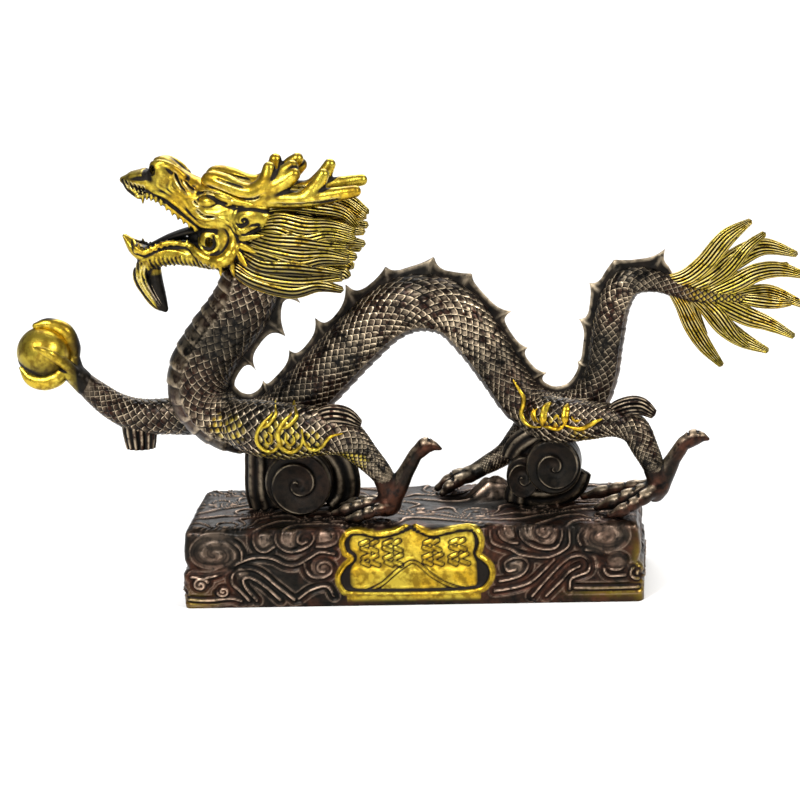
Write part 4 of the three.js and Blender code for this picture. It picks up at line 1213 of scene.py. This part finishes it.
def flame(line, wide, rows=60, cols=10):
    """A cord of half width `wide`, narrowed to its two tips, on the near flank. It is no
    thicker than THICKEST, and SUNK into the skin below it."""
    share = np.linspace(0, 1, 30)
    dots = smooth(line, share)
    hits = [skin_tree.ray_cast((x * MM, -0.06, z * MM), (0, 1, 0))[0] for x, z in dots]
    y = np.array([hit.y / MM if hit else np.nan for hit in hits])
    good = ~np.isnan(y)
    y = np.interp(np.arange(len(y)), np.flatnonzero(good), y[good])
    y = np.convolve(np.pad(y, 2, mode="edge"), np.ones(5) / 5, "valid")
    half = wide * np.minimum(1, 0.25 + 3 * np.minimum(share, 1 - share))
    stations = np.stack([dots[:, 0], y - SUNK, dots[:, 1], np.minimum(half, THICKEST), half], 1)
    grid, poles, length, v = limb(stations, rows, cols)
    none = np.zeros(grid.shape[:2])
    return grid, poles, length, v, {"gilt": 1 + none, "rub": none, "hollow_and_shade": none}


SHOULDER_FLAMES = [
    ([[-59, 90.6], [-59.9, 86.4], [-63.2, 83.2], [-66.1, 79.7], [-67.3, 74.7], [-65.2, 70.7],
      [-61.2, 69.2], [-57.9, 71.7], [-57, 75.4], [-57, 79]], 0.95),
    ([[-59, 90.6], [-58, 86.6], [-60, 83.6], [-62.4, 81.4], [-65, 80.4]], 0.9),
    ([[-50.5, 90.7], [-51, 86.8], [-54.1, 83.6], [-56.8, 80], [-57, 75.4], [-56.1, 71.6],
      [-52.2, 69.3], [-48.1, 71.5], [-46.1, 75.1], [-46, 81.1]], 1.05),
    ([[-50.5, 90.7], [-48.4, 86.4], [-50, 83.8], [-53, 81.4], [-55.6, 80.6]], 1.0),
    ([[-46, 81.1], [-45.6, 75.6], [-43.6, 71.5], [-40.5, 70.6], [-37.2, 72.6], [-34.8, 75.8],
      [-32, 77.6], [-27.4, 78.4]], 0.9),
    ([[-63.5, 76], [-62.4, 73.4], [-60.4, 74.2], [-60.2, 77], [-61.8, 79]], 0.7),
    ([[-53.4, 78.6], [-53.8, 75], [-51.8, 73], [-49.8, 75], [-50.4, 78]], 0.7),
]
HIP_FLAMES = [
    ([[47.3, 96.9], [49.8, 92.3], [51.7, 88.8], [51.6, 85.3], [50.6, 82.1], [51, 79.7], [52.6, 77.2],
      [55.6, 76], [59.7, 76.5]], 1.1),
    ([[64.2, 87.2], [62.1, 85.3], [61, 82.9], [60.6, 80.1], [59.9, 76.9]], 1.9),
    ([[59.9, 76.9], [63.2, 76.8], [66.5, 76.1], [68.6, 77.2], [70, 79.2]], 0.95),
    ([[71.8, 87], [70.9, 84.6], [70.3, 81.5], [70.3, 78.4]], 1.8),
    ([[69.6, 78.6], [73.7, 77.2], [77.3, 77], [80.8, 78.6], [83.8, 80.5], [87, 81.8]], 1.1),
    ([[56.3, 84], [55.6, 81.2], [56.5, 78.4]], 0.8),
    ([[58, 84.6], [56.6, 82.4], [57.4, 79.6], [59, 78.4]], 0.7),
    ([[65, 80.4], [66.6, 82.4], [68, 80.6]], 0.6), ([[73.4, 82.2], [74.6, 80.4], [77.4, 81]], 0.7),
]
flames = skins("dragon_flames", [flame(line, wide) for line, wide in SHOULDER_FLAMES + HIP_FLAMES])
dress(flames, plain_bronze)

# %% [markdown]
# The plinth is a long block wrapped in cast clouds: spirals, puffs, and lines that flow
# between them and turn over the edge onto the top. Every line is a curve laid on the
# block, and a point of the skin rises or sinks with its distance to the nearest one. So
# lines never cross, and each has the same rounded section with a groove beside it.

# %% Cloud lines of the plinth
from mathutils.kdtree import KDTree


def nearest(points, dots):
    """How far each point is from the nearest of some dots."""
    tree = KDTree(len(dots))
    for k, dot in enumerate(dots):
        tree.insert(dot, k)
    tree.balance()
    return np.array([tree.find(point)[2] for point in points])


def dotted(line, gap=0.25):
    """A smooth curve through a line's stations as dots a small gap apart."""
    length = even(line, 2)[1][-1]
    return smooth(line, even(line, int(length / gap) + 2)[0])


def swirl(x, z, wide, tall, start, turns, core=0.14):
    """A spiral round x, z: its half sizes shrink in step with the turn, down to the core."""
    k = np.linspace(0, 1, int(16 * abs(turns)))
    angle = math.radians(start) + 2 * np.pi * turns * k
    shrink = (1 - (1 - core) * k)
    return np.stack([x + wide * shrink * np.cos(angle), z + tall * shrink * np.sin(angle)], 1)


CLOUDS = [
    swirl(-87.4, 25.4, 12.4, 8.4, -20, 1.7), swirl(-95, 11.2, 3.6, 3.2, 20, 1.4),
    swirl(-85, 7.8, 2.8, 2.4, 200, 1.3),
    [[-69.4, 36.6], [-69.8, 30.5], [-67.9, 26.9], [-64.5, 26.1], [-60.5, 28.4]],
    [[-59, 36.6], [-59.9, 31.8], [-58.1, 28.1], [-54, 25.9], [-49.1, 26.5], [-44.9, 28.6],
     [-42.6, 32.2], [-44.5, 35.1], [-48, 34.4], [-49.9, 31.6], [-48.3, 29.4], [-46, 30.4]],
    [[-42.4, 35], [-39.6, 37], [-34.1, 36.4], [-31.4, 33.4], [-33.1, 29.6], [-37.3, 28.2], [-41.6, 28]],
    [[-99, 14.8], [-91, 14.6], [-84, 17.2], [-77, 21], [-69.4, 23.4], [-62, 22.8], [-56, 19.8],
     [-51, 19.6], [-45.2, 22.8], [-40.1, 25.4], [-34, 24.6]],
    [[-47.4, 20.4], [-46.9, 17], [-44.3, 14.1], [-40.1, 13.6], [-36.2, 15.4], [-35.3, 18.6],
     [-38, 21], [-41.2, 19.8], [-41.2, 17], [-38.8, 16.6]],
    [[-73.5, 3.4], [-77.5, 8.1], [-80.4, 11.1], [-80.5, 14.7], [-78.3, 17.6], [-74, 18.2],
     [-69.2, 17.2], [-65.2, 14.5], [-60.6, 10], [-53, 3.4]],
    [[-70, 3.4], [-74.6, 9.4], [-75.4, 13.4], [-72, 14], [-66, 10], [-59.4, 3.4]],
    [[-103, 4.4], [-92, 3.6], [-82, 4.4], [-77, 3.2]], [[-51, 4], [-45, 8], [-38, 9.4], [-35, 5]],
    [[36, 37.4], [36.4, 29.6], [39.1, 27.2], [44.6, 25.4], [48.6, 22.9], [54.8, 21.6], [61, 21.2],
     [66.7, 23.4], [70.6, 26.8], [71, 32.6], [70.4, 37.4]],
    [[40.2, 37.6], [40, 32.5], [43.6, 29], [48, 28]],
    [[49.2, 38.1], [49, 33], [51.6, 28.6], [57.7, 25.4], [64.6, 25.6], [67.6, 30.5], [67, 35.4],
     [62.6, 37], [58.1, 36], [57, 32.9], [60.2, 31], [62.6, 33.2]],
    swirl(86.6, 30.6, 12.4, 7.8, -150, -1.7),
    [[39.4, 10.6], [44.1, 11.4], [49.7, 13.6], [52.4, 18], [50, 21], [45.8, 21.2], [42, 18.8],
     [43.2, 15.6], [46.6, 16]],
    [[53.6, 3.4], [60.7, 11.5], [66.5, 17.4], [71.5, 21], [76.3, 21.4], [79.4, 18.6], [78.8, 14.6],
     [74.6, 12.6], [71.1, 11], [70.4, 6.6]],
    [[37, 6], [46, 7.4], [53, 9.8], [59, 15], [64, 20]],
    [[59.8, 3.4], [66.4, 10], [70.6, 14.6], [75, 16.4]], [[72.6, 6.8], [86.1, 6.6], [103, 6.8]],
    swirl(91.4, 18.8, 5.4, 4.4, 160, 1.6), swirl(101, 13, 4, 3.4, 120, 1.2),
    [[78, 24.4], [84, 22.6], [87, 13], [95, 12.4]], [[-103, 36.6], [-80, 36.3], [-62, 36.6]],
    [[72, 37.4], [90, 37.2], [103, 37]],
]
PUFFS = [[-87.4, 25.4, 11, 0.9], [-65, 31, 4.6, 0.9], [-54, 31.4, 5, 0.9], [-37.4, 32.4, 5, 0.9],
         [-40.6, 17.6, 4.6, 0.8], [43.6, 32.6, 4, 0.9], [52.6, 32.6, 4, 0.9], [61, 32, 5.6, 0.8],
         [86.6, 32, 11, 0.8], [46.6, 17, 4.6, 0.7], [-95, 11.2, 3.6, 0.7], [91.4, 18.8, 4.6, 0.7],
         [75.4, 17.4, 4, -1.2], [-76, 16, 3.4, 0.6]]
END_CLOUDS = [swirl(-14, 25, 10, 7, 0, 2), swirl(13, 22, 11, 8, 180, -2),
              [[-33, 12], [-20, 9], [-6, 13], [6, 9], [20, 10], [33, 7]],
              [[-33, 34], [-24, 35], [-3, 33], [2, 28], [1, 20], [-6, 16]]]


TURN_OVER = 36


def laid(lines, place):
    """Dots of flat lines put on the block by a function of x and z. Above z = TURN_OVER a
    line turns over the edge."""
    flat = np.concatenate([dotted(line) for line in lines])
    over = np.maximum(flat[:, 1] - TURN_OVER, 0)
    return place(flat[:, 0], np.minimum(flat[:, 1], TURN_OVER + 0.8), over * 1.4)


middle = [swirl(0, 22, 15, 9.6, 30, 2.4), [[-31, 36], [-22, 31], [-19, 22], [-22, 12], [-31, 6]],
          [[31, 36], [23, 30], [20, 20], [23, 11], [31, 6]], [[-26, 3.6], [0, 6.6], [26, 3.6]]]
cloud_dots = np.concatenate([
    laid(CLOUDS, lambda x, z, over: np.stack([x, over - HALF_WIDE, z], 1)),
    laid(CLOUDS + middle, lambda x, z, over: np.stack([-x, HALF_WIDE - over, z], 1)),
    laid(END_CLOUDS, lambda y, z, over: np.stack([over - HALF_LONG, -y, z], 1)),
    laid(END_CLOUDS, lambda y, z, over: np.stack([HALF_LONG - over, y, z], 1)),
])
print("cloud lines", len(cloud_dots), "dots")

# %% [markdown]
# In the middle of the front is a gilt cartouche with a bracketed outline: a raised rim, a
# dark step inside it, a dished field, and a flat peak rising from its foot. Where a maker
# would cast an inscription there are four patches of short slanted strokes, which spell
# nothing.

# %% The cartouche
FRAME = [[1, 38.2], [-3, 36], [-7, 34.4], [-14, 33.4], [-22, 35], [-27, 34.2], [-30, 30], [-29, 25],
         [-26.2, 22.4], [-30, 18.6], [-32.8, 13.5], [-31.4, 8.4], [-28, 6], [-14, 5.4], [1, 5.2],
         [16, 5.4], [29, 6.2], [34, 9], [36.3, 14.4], [34.8, 19.2], [30.6, 23.2], [31.4, 26],
         [32, 30], [30, 34.4], [26, 36.2], [18, 34.8], [10.3, 33.4], [5.4, 35.2]]
frame_line = smooth(FRAME + FRAME[:1], np.linspace(0, 1, 900))
PEAK = [[-20, 6.4], [-13.6, 9.6], [-7, 15.2], [-2, 18.8], [1, 20], [4, 18.6], [9.4, 13.6], [16, 9.2],
        [24, 6.4]]
strokes = []
for left, right in [(-22, -13.6), (-11.6, -3.2), (6, 14.4), (17.6, 26)]:
    for row in range(4):
        z, lean = 19.4 + 3.3 * row, 0.6 if row % 2 else -0.6
        for k in range(2):
            x = left + (right - left) * (k + 0.14 + 0.1 * math.sin(5 * row + 3 * k + left)) / 2
            wide = 2.5 + 0.5 * math.sin(7 * row + 2 * k)
            strokes.append([[x, z - lean], [x + wide, z + lean]])


def signed_to_frame(x, z):
    """Distance to the cartouche's outline, negative inside it (a ray to the right crosses
    the outline an odd number of times)."""
    dots = np.concatenate([frame_line, 0 * frame_line[:, :1]], 1)
    distance = nearest(np.stack([x, z, 0 * x], 1), dots)
    crossed = np.zeros(len(x), int)
    for (ax, az), (bx, bz) in zip(frame_line[:-1], frame_line[1:]):
        if az != bz:
            crossed += ((az > z) != (bz > z)) & (x < ax + (z - az) * (bx - ax) / (bz - az))
    return np.where(crossed % 2 == 1, -distance, distance)


def bump(x, centre, width):
    """A smooth ridge exp(-((x - centre) / width)^2)."""
    return np.exp(-(((x - centre) / width) ** 2))


def flat_dots(lines):
    """The dots of lines drawn in x and z, with 0 for the third coordinate."""
    return np.concatenate([np.pad(dotted(line, 0.15), ((0, 0), (0, 1))) for line in lines])


def cartouche(x, z):
    """Height, gilt, darkening and weight of the cartouche at points of the front."""
    s = signed_to_frame(x, z)
    here = np.stack([x, z, 0 * x], 1)
    peak, stroke = nearest(here, flat_dots([PEAK])), nearest(here, flat_dots(strokes))
    inside = ramp(-s, 1.2, 2.6)
    height = 1.25 * bump(s, -0.3, 0.8) - inside + 0.5 * ramp(-s, 2.4, 9) + 0.25 * bump(s, -2.9, 0.4)
    raised = 0.9 * bump(peak, 0, 0.55) + 0.4 * bump(peak, 1.7, 0.4) + 0.8 * bump(stroke, 0, 0.6)
    height = height + inside * raised
    outlines = 0.5 * bump(stroke, 1.15, 0.35) + 0.5 * bump(peak, 0.9, 0.35)
    dark = 0.8 * bump(s, -1.7, 0.5) + inside * outlines
    dark = dark + 0.75 * inside * ramp(x, 28, 31) + 0.5 * inside * ramp(-x, 25, 28)
    dark = dark + 0.2 * inside * ramp(s, -4, -2)
    band = ramp(-s, -1.6, -0.9) + bump(z, 3.9, 1.2) * (np.abs(x - 1) < 30)
    return height, np.clip(band, 0, 1), np.clip(dark, 0, 1), ramp(-s, -2.6, -0.6)

# %% [markdown]
# The block itself is one grid. Its columns run round the outline and its rows go up the
# side, over a rounded edge, and inwards on the top until front and back meet along the
# middle. EDGE is the radius of the top edge and CORNER that of the upright ones. Beyond
# STRAIGHT the columns draw in with the rings, so that the ends close as the long sides do.

# %% The bare block
EDGE, CORNER, STRAIGHT = 4, 3.5, 70
OVER_EDGE = 6


def outline_columns(front=376, end=50):
    """Places round the block as shares -1 to 1 of the half length and half width."""
    run = np.linspace(-1, 1, front)
    side = np.linspace(-0.89, 0.89, end + 2)[1:-1]
    x = np.concatenate([run, np.ones(end), run[::-1], -np.ones(end)])
    y = np.concatenate([-np.ones(front), side, np.ones(front), side[::-1]])
    return x, y


def plinth_skin(rows=63, rings=45):
    """The bare block as a grid of points, and the direction that faces out at each."""
    share_x, share_y = outline_columns()
    up_side, inward = np.linspace(0, 1, rows), np.linspace(0, 1, rings + 1)[1:]
    turn = np.linspace(0, np.pi / 2, OVER_EDGE + 1)[1:]
    tip = np.concatenate([0 * up_side, turn, np.full(rings, np.pi / 2)])[:, None]
    straight = TOP - EDGE
    height = np.concatenate([straight * up_side, straight + EDGE * np.sin(turn), np.full(rings, TOP)])
    height = height[:, None]
    near_end = 0.2 + 0.8 * ramp(np.abs(share_x), 0.76, 0.82)
    step = 1.8 * ramp(height, 15.5, 17.5) - 1.0 * ramp(height, 18, 22) + 1.2 * ramp(height, 26, 37)
    depth = EDGE * (1 - np.cos(tip)) + step * near_end
    share = np.concatenate([np.zeros(rows + OVER_EDGE), inward])[:, None]
    depth = depth + (HALF_WIDE - depth) * share
    left = (HALF_WIDE - depth) / HALF_WIDE
    round_x = ramp(np.abs(share_x), 1 - CORNER / HALF_LONG, 1)
    corner = CORNER * (1 - np.sqrt(1 - round_x**2))
    far_x = np.abs(share_x) * HALF_LONG
    x = np.sign(share_x) * np.where(far_x > STRAIGHT, STRAIGHT + (far_x - STRAIGHT) * left, far_x)
    front = np.abs(share_y) == 1
    y = share_y * (HALF_WIDE - depth) - np.sign(share_y) * corner * front * left
    out = np.stack([np.where(front, round_x, 1) * np.sign(share_x),
                    np.where(front, np.sqrt(1 - round_x**2), 0) * np.sign(share_y)], -1)
    level = out[None] * np.cos(tip)[..., None]
    away = np.concatenate([level, np.sin(tip)[..., None] + 0 * level[..., :1]], -1)
    return np.stack([x, y, height + 0 * x], -1), away


grid, normal = plinth_skin()
rows, cols = grid.shape[:2]
points, away = grid.reshape(-1, 3), normal.reshape(-1, 3)
print("block grid", rows, "rows of", cols)

# %% [markdown]
# The relief is a rise along the way out at each point. On the sides it is the cloud lines
# and the puffs between them. On the top it is the level curves of a gentle slope with a few
# hills on it, which close into rings round each hill like the eyes of cut wood. The
# cartouche takes the place of the clouds on the front, and a rock stands up from the top.

# %% The relief of the block
EYES = [[-43, -17], [-82, -26], [-74, -7], [-90, 9], [28, -13], [58, -9], [-15, -25], [88, -22],
        [84, 6], [-14, 14], [12, 22], [56, 23], [-56, 22], [-84, 25], [94, 24], [2, -8]]
ROCK = [(35.5, 11), (11, 8)]
RUBBED_GILT = [(1, (-101, -32, 3), (9, 7, 4)), (1, (102, -31, 14), (3, 7, 14)),
               (1, (90, -34, 5), (14, 5, 2.4))]

line = nearest(points, cloud_dots)
x, y, z = points.T
up = away[:, 2]
rise = bump(line, 0, 0.55) - 0.6 * bump(line, 1.4, 0.7) + 0.35 * bump(line, 2.9, 0.6)
bright = bump(line, 0, 0.27) + 0.2 * bump(line, 2.9, 0.3)
dark = 0.75 * bump(line, 1.1, 0.45)
for px, pz, r, lift in PUFFS:
    near = np.hypot(x - np.where(y < 0, px, -px), z - pz)
    dome = np.clip(1 - (near / r) ** 2, 0, 1) * (np.abs(y) > 28) * (up < 0.9)
    rise = rise + 1.3 * lift * np.sqrt(dome)
    bright = bright + 0.16 * (lift > 0) * dome
slope = y / 8.4 + 1.1 * np.sin(x / 24) + 0.4 * np.sin(x / 10 + y / 8)
for ex, ey in EYES:
    reach = np.hypot((x - ex) / 1.5, y - ey)
    slope = slope + 2.6 * np.exp(-((reach / 5.6) ** 2))
level_line = np.abs(part(slope) - 0.5)
top = ramp(up, 0.55, 0.95)
grain_rise = 0.7 * bump(level_line, 0, 0.08) - 0.3 * bump(level_line, 0.16, 0.07) - 0.6
rise = rise * (1 - top) + top * grain_rise
bright = bright * (1 - top) + top * 0.75 * bump(level_line, 0, 0.045)
dark = dark * (1 - top) + top * 0.8 * bump(level_line, 0.13, 0.06)
plate_height, plate_gilt, plate_dark, plate_here = cartouche(x, z)
on_front = (y < -20) & (up < 0.9)
plate_here = plate_here * on_front
rise = rise * (1 - plate_here) + plate_height * plate_here
rise = np.clip(rise, -2, 1.5) * ramp(z, 0, 1.5)
rock = 1 - np.exp(-2.5 * blob(points[:, :2], *ROCK) ** 2)
rise = rise + top * rock * (9.6 + 0.5 * np.sin(x * 0.9 + y * 0.4) + 0.5 * np.sin(x * 0.5 - y * 1.1))
bright = bright + top * 0.4 * rock
gilt = np.clip(plate_gilt * on_front + 0.3 * spots(points, RUBBED_GILT), 0, 1)
masks = {"gilt": gilt, "hollow_and_shade": np.clip(dark * (1 - plate_here) + plate_dark * plate_here, 0, 1),
         "rub": np.clip(bright, 0, 1) * (1 - plate_here)}
print("relief from", rise.min().round(2), "to", rise.max().round(2))

# %% [markdown]
# The relief moves the block's points, and one wide face closes its underside. Front and
# back meet along the middle of the top, where their points are merged. The skin is kept
# inside the solid's front and back by SPARE.

# %% The finished block
SPARE = 0.05
skin = points + away * rise[:, None]
skin[:, 1] = np.clip(skin[:, 1], base_low[1] + SPARE, base_high[1] - SPARE)
quads = grid_quads(rows, cols)
foot = np.arange(cols)[::-1][None, :]
no_pattern = [np.zeros((quads.size, 2)), np.zeros((cols, 2))]
plinth = mesh_piece("plinth_block", skin, [quads, foot], no_pattern, masks)
seam = bmesh.new()
seam.from_mesh(plinth.data)
bmesh.ops.remove_doubles(seam, verts=seam.verts, dist=1e-6)
seam.to_mesh(plinth.data)
seam.free()
dress(plinth, cloud_bronze, "plinth")

# %% [markdown]
# Two groups of cloud scrolls stand on the plinth and carry the belly. Each scroll is a
# roll seen end on: a disc whose front is wound like a shell. The winding is a ramp of
# height that climbs with the angle and drops one step after each turn.

# %% The scrolls under the belly
def roll(x, z, wide, tall, front, rear, pitch, start, cols=110):
    """A disc with rounded edges. Its front rises with the fraction of r / pitch - angle / (2 pi),
    and a knob is left in the middle."""
    angle = np.linspace(0, 2 * np.pi, cols + 1)
    profile = [(0.12, 0), (0.3, 0), (0.55, 0), (0.8, 0), (0.93, 0.06), (1, 0.2)]
    profile += [(1, s) for s in np.linspace(0.28, 0.9, 12)]
    front_r = np.linspace(0.995, 0.03, 52)
    side_r, side_depth = np.array(profile).T
    r = np.concatenate([side_r, [0.995], front_r])
    depth = np.concatenate([side_depth, [0.95], 1 - 0.04 * ramp(front_r, 0.9, 1.0)])
    a = angle[None, :-1]
    turn = part(r[:, None] * min(wide, tall) / pitch - a / (2 * np.pi) + start)
    wound = (turn ** 1.6) * ramp(turn, 1.0, 0.93)
    on_front = (np.arange(len(r)) >= len(profile))[:, None]
    knob = bump(r[:, None] * min(wide, tall), 0, 1.6)
    raised = on_front * (2.2 * wound * (1 - 0.6 * knob) + 1.2 * knob) * ramp(r[:, None], 1.0, 0.95)
    radius = r[:, None] * (1 - 0.012 * np.cos(9 * depth[:, None] * np.pi))
    y = rear + (front - rear) * depth[:, None] + 0 * a + 1.6 * on_front - raised
    grid = np.stack([x + wide * radius * np.cos(a), y, z + tall * radius * np.sin(a)], -1)
    poles = np.array([[x, rear, z], [x, front, z]])
    edge = on_front * ramp(turn, 0.86, 0.92) * ramp(turn, 0.97, 0.93) * (0.5 + 0.5 * np.sin(3 * a + 1))
    masks = {"rub": 0.4 * edge + 0.2 * on_front * ramp(r[:, None], 0.93, 0.97), "gilt": 0 * edge,
             "hollow_and_shade": on_front * ramp(turn, 0.16, 0.0) + 0 * edge}
    return grid, poles, r, angle / (2 * np.pi), masks


scroll_rolls = [roll(-51, 51.6, 15, 15, -15, 9, 8.6, 0.1), roll(64, 56, 12.2, 13, -12, 8, 7.4, 0.5),
                roll(50, 50.6, 7.4, 9.4, -9, 6, 5, 0.2)]
ribs = {"strands": 9, "rows": 40, "cols": 90, "gilt": 0.0, "depth": 0.14, "rub": 0.2, "cut": 0.9}
scroll_stems = [
    lock([[-68, 1, 36.6, 5.6, 8], [-69.4, 0, 45, 5, 8], [-69, 0, 55, 4.6, 8], [-67.6, 0, 64, 5.4, 8],
          [-60, 0, 67.6, 5, 8]], **ribs),
    lock([[-39, 2, 36.6, 5, 9], [-34, 2, 43, 4.4, 9], [-33.6, 1, 52, 4.4, 9], [-37, 0, 60, 4, 9],
          [-45, 0, 66, 4, 8]], **ribs),
    lock([[48, 0, 36.6, 5.6, 8], [50, 0, 42, 5.4, 8], [60, 0, 41.6, 5, 8], [70, 0, 45, 4.4, 8],
          [74.4, 0, 53, 3.2, 7]], **ribs),
    lock([[45, 0, 56, 2, 6], [49, 0, 62.4, 3.4, 7], [56, 0, 67, 4, 7], [64, 0, 69, 4, 7]], **ribs),
]
scrolls = skins("plinth_scrolls", scroll_rolls)
dress(scrolls, plain_bronze, "plinth")
stems = skins("plinth_scroll_stems", scroll_stems)
dress(stems, plain_bronze, "plinth")

# %% [markdown]
# Last, a plain pale floor for the statue to stand on, wide enough to fill the view.

# %% Floor
corners = np.array([[-6, -4, 0], [6, -4, 0], [6, 8, 0], [-6, 8, 0]]) / MM
ground = mesh_piece("floor", corners, [np.array([[0, 1, 2, 3]])])
paper = Finish("pale_floor")
paper.shader.inputs["Base Color"].default_value = (0.95, 0.95, 0.95, 1)
paper.shader.inputs["Roughness"].default_value = 0.9
ground.data.materials.append(paper.material)
